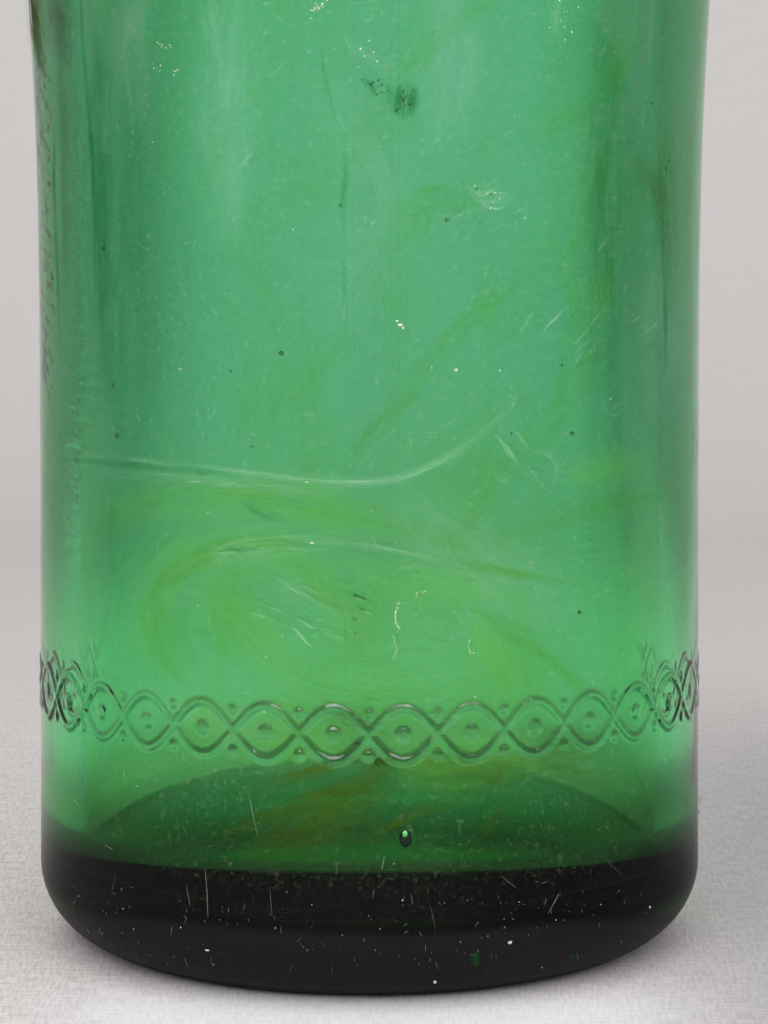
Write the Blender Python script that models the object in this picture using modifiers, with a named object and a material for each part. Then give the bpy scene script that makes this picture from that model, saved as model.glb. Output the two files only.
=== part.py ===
# Refillable glass siphon bottle for soda water, in metres, +Z up.
# The origin is the centre of the base. The spout points to -X and the lever's handle to +X.
# The bottle, its screwed head, the valve train inside the head and the lever are separate pieces.

from math import cos, pi, radians, sin

import bmesh
import bpy
import numpy as np
from mathutils import Matrix, Vector

# Fits
FIT_GAP = 0.0003            # between pieces that touch
RUN_GAP = 0.00015           # round a shaft that slides or turns
CUT_OVERRUN = 0.002         # how far a cutter passes the face that it opens

# Glass bottle, outside
WAIST_RADIUS = 0.04855
HEEL_SWELL = 0.00065        # how much wider than the waist the heel is
SHOULDER_SWELL = 0.00215
HEEL_HEIGHT = 0.012
HEEL_ROUND = 0.0126
FOOT_WIDTH = 0.0076
KICK_RISE = 0.003
WAIST_ABOVE_HEEL = 0.082
SHOULDER_ABOVE_WAIST = 0.074
DOME_HEIGHT = 0.045
NECK_LENGTH = 0.010
NECK_WALL = 0.005
BEAD_STEP = 0.003
BEAD_LENGTH = 0.008
LIP_WALL = 0.0043
LIP_LENGTH = 0.007
WAIST_CURVE = 1.3           # how the wall narrows from heel to waist

# Glass bottle, inside
WALL = 0.0064
FLOOR_HEIGHT = 0.012
FLOOR_FILLET = 0.008

# Mouth gasket and the split collar under the bead
GASKET_THICKNESS = 0.002
COLLAR_WALL = 0.0032
COLLAR_GRIP = 0.0052
COLLAR_TOP_BELOW_LIP = 0.002
COLLAR_SPLIT = 0.0006

# Head casting
SKIRT_WALL = 0.0037
SKIRT_BELOW_COLLAR = 0.0005
SKIRT_ROOF = 0.0012
COVE_HEIGHT = 0.0085
BARREL_WALL = 0.0065
BARREL_TOP_RIM = 0.0012
NIPPLE_WALL = 0.0025
NIPPLE_DEPTH = 0.007
NIPPLE_CLEARANCE = 0.0007   # to the glass mouth round it
TUBE_BORE_LEDGE = 0.0013
THROAT_HEIGHT = 0.006
OUTLET_MARGIN = 0.005       # height of the outlet chamber beyond the spout's bore
GLAND_LEDGE = 0.002

# Room for the water to pass
VALVE_FLOW_GAP = 0.0007
THROAT_FLOW_GAP = 0.001
OUTLET_FLOW_GAP = 0.00425

# Spout
SPOUT_BORE_RADIUS = 0.003
SPOUT_OVERHANG = 0.035      # from the skirt to the middle of the nozzle
SPOUT_CREST_RISE = 0.0085
SPOUT_BEND_DROP = 0.010
SPOUT_STRAIGHT = 0.013
SPOUT_ROOT_WALL = 0.006
SPIGOT_WALL = 0.0016
SPIGOT_SHOULDER = 0.0019
SPIGOT_LENGTH = 0.006

# Spout nozzle
NOZZLE_WALL = 0.0021
NOZZLE_TIP_WALL = 0.002
NOZZLE_TIP_LENGTH = 0.0025
NOZZLE_TAPER_LENGTH = 0.0028
NOZZLE_BAND_BELOW_SOCKET = 0.0018
NOZZLE_CHAMFER = 0.0008
NOZZLE_GASKET_THICKNESS = 0.0013

# Dip tube and what holds it
DIP_TUBE_RADIUS = 0.004
DIP_TUBE_WALL = 0.0011
DIP_TUBE_ABOVE_FLOOR = 0.009
TUBE_SEAL_HEIGHT = 0.0053
TUBE_NUT_THREAD = 0.0067
TUBE_NUT_FLANGE_HEIGHT = 0.004

# Valve
STEM_RADIUS = 0.00175
STEM_COLLAR_STEP = 0.00125
STEM_COLLAR_HEIGHT = 0.0012
STEM_TAIL = 0.001
STEM_TAIL_CLEARANCE = 0.003  # left under the stem when the lever is down
SEAT_WIDTH = 0.0012
VALVE_DISC_THICKNESS = 0.0034
VALVE_STROKE = 0.003
HOLDER_WALL = 0.0008
HOLDER_FLOOR = 0.002
HOLDER_RIM = 0.0022
VALVE_NUT_WALL = 0.0016
VALVE_NUT_HEIGHT = 0.0037
SPRING_NUT_GAP = 0.0012
SPRING_WIRE_RADIUS = 0.00045
SPRING_TURNS = 5
SPRING_POINTS_PER_TURN = 10
SPRING_SEAT_THICKNESS = 0.0011
SPRING_SEAT_HOLE_RADIUS = 0.0025
SPRING_SEAT_PORT_RADIUS = 0.0008
SPRING_SEAT_PORT_COUNT = 6
SPRING_SEAT_PORT_TURN = 0.37  # share of a pitch that the first port is turned by

# Gland and stem cap
PACKING_HEIGHT = 0.0042
PACKING_WASHER_THICKNESS = 0.0008
GLAND_THREAD_LENGTH = 0.0071
GLAND_HEX_STEP = 0.001
GLAND_HEX_HEIGHT = 0.0037
STEM_CAP_WALL = 0.0026
STEM_CAP_HEIGHT = 0.004
STEM_CAP_ROOF = 0.002
STEM_CAP_CLEARANCE = 0.001  # left above the gland nut when the lever is down

# Lever, its ears and its pin
PIN_RADIUS = 0.002
PIN_HEAD_STEP = 0.0012
PIN_HEAD_HEIGHT = 0.0012
EAR_MARGIN = 0.0023         # round the pin's head
EAR_THICKNESS = 0.0035
EAR_CLEARANCE = 0.001       # to the gland nut
TONGUE_WIDTH = 0.0068
TONGUE_WALL = 0.00285
NUB_RADIUS = 0.004
CREST_RISE = 0.0068
CREST_REACH = 0.012
HANDLE_STANDOFF = 0.0395    # from the barrel to the handle's low end
HANDLE_DROP = 0.028
CURL_REACH = 0.013
CURL_DROP = 0.018
HANDLE_WIDTH = 0.0165
CREST_THICKNESS = 0.0066
HANDLE_THICKNESS = 0.0046

# Fineness of the faceted shapes
BOTTLE_STEPS = 40
HEAD_STEPS = 32
SHAFT_STEPS = 20
LEVER_SIDES = 12
SHARP_ANGLE = radians(35)
MERGE_DISTANCE = 0.000001

# Radii that follow from the sizes above, from the stem outwards
STEM_HOLE_RADIUS = STEM_RADIUS + RUN_GAP
STEM_COLLAR_RADIUS = STEM_RADIUS + STEM_COLLAR_STEP
STEM_CAP_RADIUS = STEM_HOLE_RADIUS + STEM_CAP_WALL
THROAT_RADIUS = STEM_COLLAR_RADIUS + THROAT_FLOW_GAP
VALVE_DISC_RADIUS = THROAT_RADIUS + SEAT_WIDTH
HOLDER_INNER_RADIUS = VALVE_DISC_RADIUS + FIT_GAP
HOLDER_RADIUS = HOLDER_INNER_RADIUS + HOLDER_WALL
VALVE_NUT_RADIUS = STEM_HOLE_RADIUS + VALVE_NUT_WALL
SPRING_RADIUS = VALVE_NUT_RADIUS + SPRING_NUT_GAP + SPRING_WIRE_RADIUS
CHAMBER_RADIUS = max(HOLDER_RADIUS, SPRING_RADIUS + SPRING_WIRE_RADIUS) + VALVE_FLOW_GAP
TUBE_BORE_RADIUS = CHAMBER_RADIUS + TUBE_BORE_LEDGE
TUBE_BUSH_RADIUS = TUBE_BORE_RADIUS - FIT_GAP
DIP_TUBE_HOLE_RADIUS = DIP_TUBE_RADIUS + FIT_GAP
NIPPLE_RADIUS = TUBE_BORE_RADIUS + NIPPLE_WALL
TUBE_NUT_FLANGE_RADIUS = (TUBE_BORE_RADIUS + NIPPLE_RADIUS) / 2
MOUTH_RADIUS = NIPPLE_RADIUS + NIPPLE_CLEARANCE
LIP_RADIUS = MOUTH_RADIUS + LIP_WALL
NECK_RADIUS = MOUTH_RADIUS + NECK_WALL
BEAD_RADIUS = NECK_RADIUS + BEAD_STEP
COLLAR_RADIUS = BEAD_RADIUS + FIT_GAP + COLLAR_WALL
SKIRT_BORE_RADIUS = COLLAR_RADIUS + FIT_GAP
SKIRT_RADIUS = SKIRT_BORE_RADIUS + SKIRT_WALL
OUTLET_RADIUS = STEM_RADIUS + OUTLET_FLOW_GAP
GLAND_BORE_RADIUS = OUTLET_RADIUS + GLAND_LEDGE
GLAND_RADIUS = GLAND_BORE_RADIUS - FIT_GAP
GLAND_HEX_RADIUS = GLAND_BORE_RADIUS + GLAND_HEX_STEP
BARREL_RADIUS = GLAND_BORE_RADIUS + BARREL_WALL
HEEL_RADIUS = WAIST_RADIUS + HEEL_SWELL
SHOULDER_RADIUS = WAIST_RADIUS + SHOULDER_SWELL
FOOT_RADIUS = HEEL_RADIUS - HEEL_ROUND
FOOT_INNER_RADIUS = FOOT_RADIUS - FOOT_WIDTH

# Heights of the glass and the head
WAIST_HEIGHT = HEEL_HEIGHT + WAIST_ABOVE_HEEL
SHOULDER_HEIGHT = WAIST_HEIGHT + SHOULDER_ABOVE_WAIST
NECK_START = SHOULDER_HEIGHT + DOME_HEIGHT
BEAD_BOTTOM = NECK_START + NECK_LENGTH
LIP_BOTTOM = BEAD_BOTTOM + BEAD_LENGTH
GLASS_TOP = LIP_BOTTOM + LIP_LENGTH
HEAD_FACE = GLASS_TOP + GASKET_THICKNESS + 2 * FIT_GAP
COLLAR_LEDGE = BEAD_BOTTOM - FIT_GAP
COLLAR_BOTTOM = COLLAR_LEDGE - COLLAR_GRIP
COLLAR_TOP = GLASS_TOP - COLLAR_TOP_BELOW_LIP
SKIRT_BOTTOM = COLLAR_BOTTOM - SKIRT_BELOW_COLLAR
SKIRT_TOP = HEAD_FACE + SKIRT_ROOF

# Heights inside the head, from the nipple up
NIPPLE_BOTTOM = GLASS_TOP - NIPPLE_DEPTH
TUBE_NUT_FLANGE_TOP = NIPPLE_BOTTOM - FIT_GAP
TUBE_NUT_TOP = NIPPLE_BOTTOM + TUBE_NUT_THREAD
TUBE_SEAL_BOTTOM = TUBE_NUT_TOP + FIT_GAP
TUBE_SEAL_TOP = TUBE_SEAL_BOTTOM + TUBE_SEAL_HEIGHT
SPRING_SEAT_BOTTOM = TUBE_SEAL_TOP + FIT_GAP
SPRING_SEAT_TOP = SPRING_SEAT_BOTTOM + SPRING_SEAT_THICKNESS
CHAMBER_FLOOR = SPRING_SEAT_TOP + FIT_GAP
SPRING_BOTTOM = CHAMBER_FLOOR
STEM_BOTTOM = CHAMBER_FLOOR + STEM_TAIL_CLEARANCE + VALVE_STROKE
VALVE_NUT_BOTTOM = STEM_BOTTOM + STEM_TAIL
VALVE_NUT_TOP = VALVE_NUT_BOTTOM + VALVE_NUT_HEIGHT
HOLDER_BOTTOM = VALVE_NUT_TOP + FIT_GAP
SPRING_TOP = HOLDER_BOTTOM - FIT_GAP
HOLDER_FLOOR_TOP = HOLDER_BOTTOM + HOLDER_FLOOR
DISC_BOTTOM = HOLDER_FLOOR_TOP + FIT_GAP
DISC_TOP = DISC_BOTTOM + VALVE_DISC_THICKNESS
VALVE_SEAT = DISC_TOP + FIT_GAP
OUTLET_FLOOR = VALVE_SEAT + THROAT_HEIGHT
OUTLET_HEIGHT = 2 * SPOUT_BORE_RADIUS + OUTLET_MARGIN
GLAND_FLOOR = OUTLET_FLOOR + OUTLET_HEIGHT
PACKING_BOTTOM = GLAND_FLOOR + FIT_GAP
PACKING_TOP = PACKING_BOTTOM + PACKING_HEIGHT
WASHER_BOTTOM = PACKING_TOP + FIT_GAP
WASHER_TOP = WASHER_BOTTOM + PACKING_WASHER_THICKNESS
GLAND_NUT_BOTTOM = WASHER_TOP + FIT_GAP
HEAD_TOP = GLAND_NUT_BOTTOM + GLAND_THREAD_LENGTH
GLAND_HEX_BOTTOM = HEAD_TOP + FIT_GAP
GLAND_HEX_TOP = GLAND_HEX_BOTTOM + GLAND_HEX_HEIGHT
CAP_BOTTOM = GLAND_HEX_TOP + VALVE_STROKE + STEM_CAP_CLEARANCE
CAP_TOP = CAP_BOTTOM + STEM_CAP_HEIGHT
STEM_TOP = CAP_TOP - STEM_CAP_ROOF - FIT_GAP

# Spout, nozzle and lever places
SPOUT_REACH = SKIRT_RADIUS + SPOUT_OVERHANG
SPOUT_ROOT = OUTLET_FLOOR + OUTLET_HEIGHT / 2
SPOUT_CREST = SPOUT_ROOT + SPOUT_CREST_RISE
SPOUT_BEND = SPOUT_CREST - SPOUT_BEND_DROP
SPOUT_END = SPOUT_BEND - SPOUT_STRAIGHT
SPOUT_ROOT_RADIUS = SPOUT_BORE_RADIUS + SPOUT_ROOT_WALL
SPIGOT_RADIUS = SPOUT_BORE_RADIUS + SPIGOT_WALL
SPOUT_END_RADIUS = SPIGOT_RADIUS + SPIGOT_SHOULDER
SPIGOT_END = SPOUT_END - SPIGOT_LENGTH
SOCKET_TOP = SPOUT_END - FIT_GAP
SOCKET_RADIUS = SPIGOT_RADIUS + FIT_GAP
SOCKET_FLOOR = SPIGOT_END - NOZZLE_GASKET_THICKNESS - 2 * FIT_GAP
NOZZLE_RADIUS = SOCKET_RADIUS + NOZZLE_WALL
NOZZLE_TIP_RADIUS = SPOUT_BORE_RADIUS + NOZZLE_TIP_WALL
NOZZLE_BAND_END = SOCKET_FLOOR - NOZZLE_BAND_BELOW_SOCKET
NOZZLE_TAPER_END = NOZZLE_BAND_END - NOZZLE_TAPER_LENGTH
NOZZLE_END = NOZZLE_TAPER_END - NOZZLE_TIP_LENGTH
PIN_HOLE_RADIUS = PIN_RADIUS + RUN_GAP
PIN_HEAD_RADIUS = PIN_RADIUS + PIN_HEAD_STEP
TONGUE_RADIUS = PIN_HOLE_RADIUS + TONGUE_WALL
EAR_RADIUS = PIN_HEAD_RADIUS + EAR_MARGIN
EAR_INNER = TONGUE_WIDTH / 2 + FIT_GAP
EAR_OUTER = EAR_INNER + EAR_THICKNESS
PIVOT_OFFSET = GLAND_HEX_RADIUS + EAR_CLEARANCE + EAR_RADIUS
PIVOT_HEIGHT = CAP_TOP
HANDLE_REACH = BARREL_RADIUS + HANDLE_STANDOFF

# Colours: base colour, metallic, roughness
GREEN_GLASS = (0.10, 0.42, 0.20)
CLEAR_GLASS = (0.75, 0.85, 0.82)
CAST_METAL = (0.42, 0.41, 0.39)
BRASS = (0.55, 0.40, 0.17)
RUBBER = (0.03, 0.028, 0.026)
STEEL = (0.45, 0.44, 0.42)


def clear_scene():
    for item in list(bpy.data.objects):
        bpy.data.objects.remove(item, do_unlink=True)


def add_collection(name):
    collection = bpy.data.collections.new(name)
    bpy.context.scene.collection.children.link(collection)
    return collection


def add_material(name, colour, metallic, roughness, transmission=0.0):
    material = bpy.data.materials.new(name)
    material.use_nodes = True
    shader = material.node_tree.nodes["Principled BSDF"]
    shader.inputs["Base Color"].default_value = (*colour, 1.0)
    shader.inputs["Metallic"].default_value = metallic
    shader.inputs["Roughness"].default_value = roughness
    shader.inputs["Transmission Weight"].default_value = transmission
    return material


def add_piece(name, mesh, material=None):
    """A sub-part when it has a material, or else a cutter that isn't rendered."""
    piece = bpy.data.objects.new(name, mesh)
    if material is None:
        CUTTERS.objects.link(piece)
        piece.hide_render = True
        piece.display_type = "WIRE"
    else:
        mesh.materials.append(material)
        PARTS.objects.link(piece)
    return piece


def turned(name, profile, steps, material=None, closed=True):
    """Turn a profile of (radius, height) points about the Z axis.

    The points run down the outer side. A profile that starts and ends on the axis is open.
    """
    mesh = bpy.data.meshes.new(name)
    points = [(radius, 0.0, height) for radius, height in profile]
    edges = [(i, i + 1) for i in range(len(points) - 1)]
    if closed:
        edges.append((len(points) - 1, 0))
    mesh.from_pydata(points, edges, [])
    piece = add_piece(name, mesh, material)
    screw = piece.modifiers.new("turn", "SCREW")
    screw.axis = "Z"
    screw.steps = steps
    screw.render_steps = steps
    screw.use_merge_vertices = True
    screw.merge_threshold = MERGE_DISTANCE
    screw.use_smooth_shade = True
    return piece


def ring(name, inner, outer, bottom, top, steps, material=None):
    """A plain washer or bush."""
    profile = [(inner, top), (outer, top), (outer, bottom), (inner, bottom)]
    return turned(name, profile, steps, material)


def rod(name, radius, bottom, top, steps, material=None):
    """A plain solid cylinder on the Z axis."""
    profile = [(0.0, top), (radius, top), (radius, bottom), (0.0, bottom)]
    return turned(name, profile, steps, material, closed=False)


def prism(name, radius, sides, height, centre, material=None, across=False):
    """A cylinder or hexagon; across turns its axis from Z to Y."""
    mesh = bpy.data.meshes.new(name)
    shape = bmesh.new()
    bmesh.ops.create_cone(
        shape, cap_ends=True, segments=sides, radius1=radius, radius2=radius, depth=height
    )
    shape.to_mesh(mesh)
    shape.free()
    piece = add_piece(name, mesh, material)
    piece.location = centre
    if across:
        piece.rotation_euler = (pi / 2, 0.0, 0.0)
    return piece


def block(name, low, high, material=None):
    """A box between two corners."""
    low, high = Vector(low), Vector(high)
    mesh = bpy.data.meshes.new(name)
    shape = bmesh.new()
    bmesh.ops.create_cube(shape, size=1.0)
    bmesh.ops.scale(shape, vec=high - low, verts=shape.verts)
    shape.to_mesh(mesh)
    shape.free()
    piece = add_piece(name, mesh, material)
    piece.location = (low + high) / 2
    return piece


def swept_tube(name, points, radii, sides, material=None, handles=None):
    """A round tube along points. With handles it is a smooth curve, without them a polyline."""
    curve = bpy.data.curves.new(name, "CURVE")
    curve.dimensions = "3D"
    curve.bevel_depth = 1.0
    curve.bevel_resolution = (sides - 4) // 2
    curve.use_fill_caps = True
    curve.resolution_u = 8
    if handles is None:
        spline = curve.splines.new("POLY")
        spline.points.add(len(points) - 1)
        for knot, point, radius in zip(spline.points, points, radii):
            knot.co = (*point, 1.0)
            knot.radius = radius
    else:
        spline = curve.splines.new("BEZIER")
        spline.bezier_points.add(len(points) - 1)
        for knot, point, radius, reach in zip(spline.bezier_points, points, radii, handles):
            knot.co = point
            knot.radius = radius
            knot.handle_left = Vector(point) - Vector(reach)
            knot.handle_right = Vector(point) + Vector(reach)
    guide = bpy.data.objects.new(name + "_guide", curve)
    CUTTERS.objects.link(guide)
    bpy.context.view_layer.update()
    mesh = bpy.data.meshes.new_from_object(guide.evaluated_get(bpy.context.evaluated_depsgraph_get()))
    weld = bmesh.new()
    weld.from_mesh(mesh)
    bmesh.ops.remove_doubles(weld, verts=weld.verts, dist=MERGE_DISTANCE)
    weld.to_mesh(mesh)
    weld.free()
    mesh.name = name
    bpy.data.objects.remove(guide)
    return add_piece(name, mesh, material)


def combine(piece, other, operation):
    """Add or cut another shape, which becomes a hidden helper."""
    change = piece.modifiers.new(other.name, "BOOLEAN")
    change.operation = operation
    change.solver = "EXACT"
    change.object = other


def finish_shapes():
    """Bake the modifiers and shade the round faces smooth between their sharp edges."""
    bpy.context.view_layer.update()
    depsgraph = bpy.context.evaluated_depsgraph_get()
    meshes = {}
    for piece in PARTS.objects:
        meshes[piece] = bpy.data.meshes.new_from_object(piece.evaluated_get(depsgraph))
    for piece, mesh in meshes.items():
        piece.modifiers.clear()
        mesh.name = piece.name
        mesh.shade_smooth()
        mesh.set_sharp_from_angle(angle=SHARP_ANGLE)
        piece.data = mesh


def arc(centre, size, start, end, count):
    """Points on an ellipse; the angle runs from the outward radius towards +Z."""
    angles = np.linspace(radians(start), radians(end), count)
    return [(centre[0] + size[0] * cos(a), centre[1] + size[1] * sin(a)) for a in angles]


def bezier(points, count):
    """Points on a cubic Bezier curve."""
    a, b, c, d = (np.array(point) for point in points)
    values = []
    for t in np.linspace(0.0, 1.0, count):
        s = 1.0 - t
        values.append(tuple(a * s**3 + 3 * b * s**2 * t + 3 * c * s * t**2 + d * t**3))
    return values


def wall_radius(height):
    """Outer radius of the body between the heel and the shoulder."""
    if height < WAIST_HEIGHT:
        below = (WAIST_HEIGHT - height) / (WAIST_HEIGHT - HEEL_HEIGHT)
        return WAIST_RADIUS + (HEEL_RADIUS - WAIST_RADIUS) * below**WAIST_CURVE
    above = (height - WAIST_HEIGHT) / (SHOULDER_HEIGHT - WAIST_HEIGHT)
    return WAIST_RADIUS + (SHOULDER_RADIUS - WAIST_RADIUS) * above**3 * (4 - 3 * above)


def dome(shoulder_radius, neck_radius, sink, count):
    """The curve from the neck down to the shoulder; sink lowers its middle, for the inner face."""
    top = (neck_radius, NECK_START)
    upper = (neck_radius, NECK_START - 0.36 * DOME_HEIGHT - sink)
    lower = (shoulder_radius, SHOULDER_HEIGHT + 0.58 * DOME_HEIGHT - sink)
    bottom = (shoulder_radius, SHOULDER_HEIGHT)
    return bezier([top, upper, lower, bottom], count)


def make_glass_bottle():
    """Blown bottle: bead and lip at the mouth, dome, waisted body, heel, foot ring and kick."""
    bead_round = BEAD_STEP * 0.9
    lip_round = min(LIP_LENGTH, LIP_RADIUS - MOUTH_RADIUS) * 0.3
    outer = arc((LIP_RADIUS - lip_round, GLASS_TOP - lip_round), (lip_round, lip_round), 90, 0, 4)
    outer += [(LIP_RADIUS, LIP_BOTTOM + lip_round)]
    outer += arc((BEAD_RADIUS - bead_round, LIP_BOTTOM - bead_round), (bead_round, bead_round), 90, 0, 4)
    outer += arc((BEAD_RADIUS - bead_round, BEAD_BOTTOM + bead_round), (bead_round, bead_round), 0, -90, 4)
    outer += [(NECK_RADIUS, BEAD_BOTTOM)]
    outer += dome(SHOULDER_RADIUS, NECK_RADIUS, 0.0, 13)
    for height in np.linspace(SHOULDER_HEIGHT, WAIST_HEIGHT, 8)[1:]:
        outer.append((wall_radius(height), height))
    for height in np.linspace(WAIST_HEIGHT, HEEL_HEIGHT, 6)[1:]:
        outer.append((wall_radius(height), height))
    outer += arc((FOOT_RADIUS, HEEL_HEIGHT), (HEEL_ROUND, HEEL_HEIGHT), 0, -90, 9)[1:]
    outer += [(FOOT_INNER_RADIUS, 0.0)]
    kick = [(FOOT_INNER_RADIUS * (1 - t), KICK_RISE * sin(t * pi / 2)) for t in (0.12, 0.4, 0.7, 1.0)]
    inside = [(0.0, FLOOR_HEIGHT)]
    corner = (wall_radius(FLOOR_HEIGHT + FLOOR_FILLET) - WALL - FLOOR_FILLET, FLOOR_HEIGHT + FLOOR_FILLET)
    inside += arc(corner, (FLOOR_FILLET, FLOOR_FILLET), -90, 0, 6)
    for height in np.linspace(FLOOR_HEIGHT + FLOOR_FILLET, WAIST_HEIGHT, 5)[1:]:
        inside.append((wall_radius(height) - WALL, height))
    for height in np.linspace(WAIST_HEIGHT, SHOULDER_HEIGHT, 7)[1:]:
        inside.append((wall_radius(height) - WALL, height))
    inside += dome(SHOULDER_RADIUS - WALL, MOUTH_RADIUS, 0.6 * WALL, 11)[::-1][1:]
    inside += [(MOUTH_RADIUS, GLASS_TOP)]
    return turned("glass_bottle", outer + kick + inside, BOTTLE_STEPS, GREEN)


def make_mouth_gasket():
    ring(
        "mouth_gasket", NIPPLE_RADIUS + FIT_GAP, LIP_RADIUS - FIT_GAP,
        GLASS_TOP + FIT_GAP, HEAD_FACE - FIT_GAP, HEAD_STEPS, BLACK_RUBBER,
    )


def make_collar():
    """Two half rings that grip the neck under the bead."""
    grip = NECK_RADIUS + FIT_GAP
    groove = BEAD_RADIUS + FIT_GAP
    profile = [
        (groove, COLLAR_TOP), (COLLAR_RADIUS, COLLAR_TOP), (COLLAR_RADIUS, COLLAR_BOTTOM),
        (grip, COLLAR_BOTTOM), (grip, COLLAR_LEDGE), (groove, COLLAR_LEDGE),
    ]
    for name, side in (("collar_half_left", 1), ("collar_half_right", -1)):
        half = turned(name, profile, HEAD_STEPS, WHITE_METAL)
        reach = 2 * COLLAR_RADIUS
        edges = sorted([side * COLLAR_SPLIT / 2, -side * reach])
        other = block(
            name + "_cut", (-reach, edges[0], COLLAR_BOTTOM - CUT_OVERRUN),
            (reach, edges[1], COLLAR_TOP + CUT_OVERRUN),
        )
        combine(half, other, "DIFFERENCE")


def spout_curve():
    """Knots and handles of the spout's middle line, from the outlet chamber to below its end."""
    knots = [
        (0.0, 0.0, SPOUT_ROOT),
        (-0.62 * SPOUT_REACH, 0.0, SPOUT_CREST),
        (-SPOUT_REACH, 0.0, SPOUT_BEND),
        (-SPOUT_REACH, 0.0, SPOUT_END),
    ]
    handles = [
        (-0.20 * SPOUT_REACH, 0.0, 0.0),
        (-0.20 * SPOUT_REACH, 0.0, 0.0),
        (0.0, 0.0, -0.42 * SPOUT_BEND_DROP),
        (0.0, 0.0, -0.25 * SPOUT_STRAIGHT),
    ]
    return knots, handles


def make_head_body():
    """Head casting: skirt and barrel, spout arch, two ears, and every bore inside them."""
    outside = [
        (0.0, HEAD_TOP), (BARREL_RADIUS - BARREL_TOP_RIM, HEAD_TOP),
        (BARREL_RADIUS, HEAD_TOP - BARREL_TOP_RIM),
    ]
    cove = (SKIRT_RADIUS - BARREL_RADIUS - SKIRT_WALL / 2, COVE_HEIGHT)
    cove_centre = (BARREL_RADIUS + cove[0], SKIRT_TOP + COVE_HEIGHT)
    outside += arc(cove_centre, cove, 180, 270, 7)
    edge = SKIRT_WALL / 2
    outside += arc((SKIRT_RADIUS - edge, SKIRT_TOP - edge), (edge, edge), 90, 0, 4)
    outside += [(SKIRT_RADIUS, SKIRT_BOTTOM), (SKIRT_BORE_RADIUS, SKIRT_BOTTOM)]
    outside += [(SKIRT_BORE_RADIUS, HEAD_FACE), (NIPPLE_RADIUS, HEAD_FACE)]
    outside += [(NIPPLE_RADIUS, NIPPLE_BOTTOM), (0.0, NIPPLE_BOTTOM)]
    head = turned("head_body", outside, HEAD_STEPS, WHITE_METAL, closed=False)

    knots, handles = spout_curve()
    crest_radius = (SPOUT_ROOT_RADIUS + SPOUT_END_RADIUS) / 2
    radii = [SPOUT_ROOT_RADIUS, crest_radius, SPOUT_END_RADIUS, SPOUT_END_RADIUS]
    combine(head, swept_tube("spout_outside", knots, radii, 16, handles=handles), "UNION")
    spigot_middle = (SPIGOT_END + SPOUT_END + SPOUT_STRAIGHT / 4) / 2
    spigot_height = SPOUT_END + SPOUT_STRAIGHT / 4 - SPIGOT_END
    spigot = prism(
        "spigot", SPIGOT_RADIUS, SHAFT_STEPS, spigot_height, (-SPOUT_REACH, 0.0, spigot_middle)
    )
    combine(head, spigot, "UNION")

    for name, side in (("ear_left", 1), ("ear_right", -1)):
        middle = side * (EAR_INNER + EAR_OUTER) / 2
        inner, outer = sorted([side * EAR_INNER, side * EAR_OUTER])
        plate = block(
            name, (-PIVOT_OFFSET - EAR_RADIUS, inner, SPOUT_ROOT),
            (-PIVOT_OFFSET + EAR_RADIUS, outer, PIVOT_HEIGHT),
        )
        crown = prism(
            name + "_crown", EAR_RADIUS, SHAFT_STEPS, EAR_THICKNESS,
            (-PIVOT_OFFSET, middle, PIVOT_HEIGHT), across=True,
        )
        combine(plate, crown, "UNION")
        combine(head, plate, "UNION")

    bores = turned("head_bores", [
        (0.0, HEAD_TOP + CUT_OVERRUN), (GLAND_BORE_RADIUS, HEAD_TOP + CUT_OVERRUN),
        (GLAND_BORE_RADIUS, GLAND_FLOOR), (OUTLET_RADIUS, GLAND_FLOOR),
        (OUTLET_RADIUS, OUTLET_FLOOR), (THROAT_RADIUS, OUTLET_FLOOR),
        (THROAT_RADIUS, VALVE_SEAT), (CHAMBER_RADIUS, VALVE_SEAT),
        (CHAMBER_RADIUS, CHAMBER_FLOOR), (TUBE_BORE_RADIUS, CHAMBER_FLOOR),
        (TUBE_BORE_RADIUS, NIPPLE_BOTTOM - CUT_OVERRUN), (0.0, NIPPLE_BOTTOM - CUT_OVERRUN),
    ], HEAD_STEPS, closed=False)
    combine(head, bores, "DIFFERENCE")
    knots[-1] = (-SPOUT_REACH, 0.0, SPIGOT_END - CUT_OVERRUN)
    bore_radii = [SPOUT_BORE_RADIUS] * len(knots)
    combine(head, swept_tube("spout_bore", knots, bore_radii, 12, handles=handles), "DIFFERENCE")
    combine(head, pin_hole("ear_pin_hole", 2 * EAR_OUTER), "DIFFERENCE")


def pin_hole(name, width):
    """Cutter for the pivot's hole, a little wider than the piece that it goes through."""
    centre = (-PIVOT_OFFSET, 0.0, PIVOT_HEIGHT)
    return prism(name, PIN_HOLE_RADIUS, SHAFT_STEPS, width + 2 * CUT_OVERRUN, centre, across=True)


def make_nozzle():
    """Screwed outlet tip and the gasket between it and the spout."""
    profile = [
        (SOCKET_RADIUS, SOCKET_TOP), (NOZZLE_RADIUS - NOZZLE_CHAMFER, SOCKET_TOP),
        (NOZZLE_RADIUS, SOCKET_TOP - NOZZLE_CHAMFER), (NOZZLE_RADIUS, NOZZLE_BAND_END),
        (NOZZLE_TIP_RADIUS, NOZZLE_TAPER_END), (NOZZLE_TIP_RADIUS, NOZZLE_END),
        (SPOUT_BORE_RADIUS, NOZZLE_END), (SPOUT_BORE_RADIUS, SOCKET_FLOOR),
        (SOCKET_RADIUS, SOCKET_FLOOR),
    ]
    nozzle = turned("spout_nozzle", profile, SHAFT_STEPS, WHITE_METAL)
    nozzle.location.x = -SPOUT_REACH
    gasket = ring(
        "nozzle_gasket", SPOUT_BORE_RADIUS + RUN_GAP, SPIGOT_RADIUS,
        SOCKET_FLOOR + FIT_GAP, SPIGOT_END - FIT_GAP, SHAFT_STEPS, BLACK_RUBBER,
    )
    gasket.location.x = -SPOUT_REACH


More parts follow.
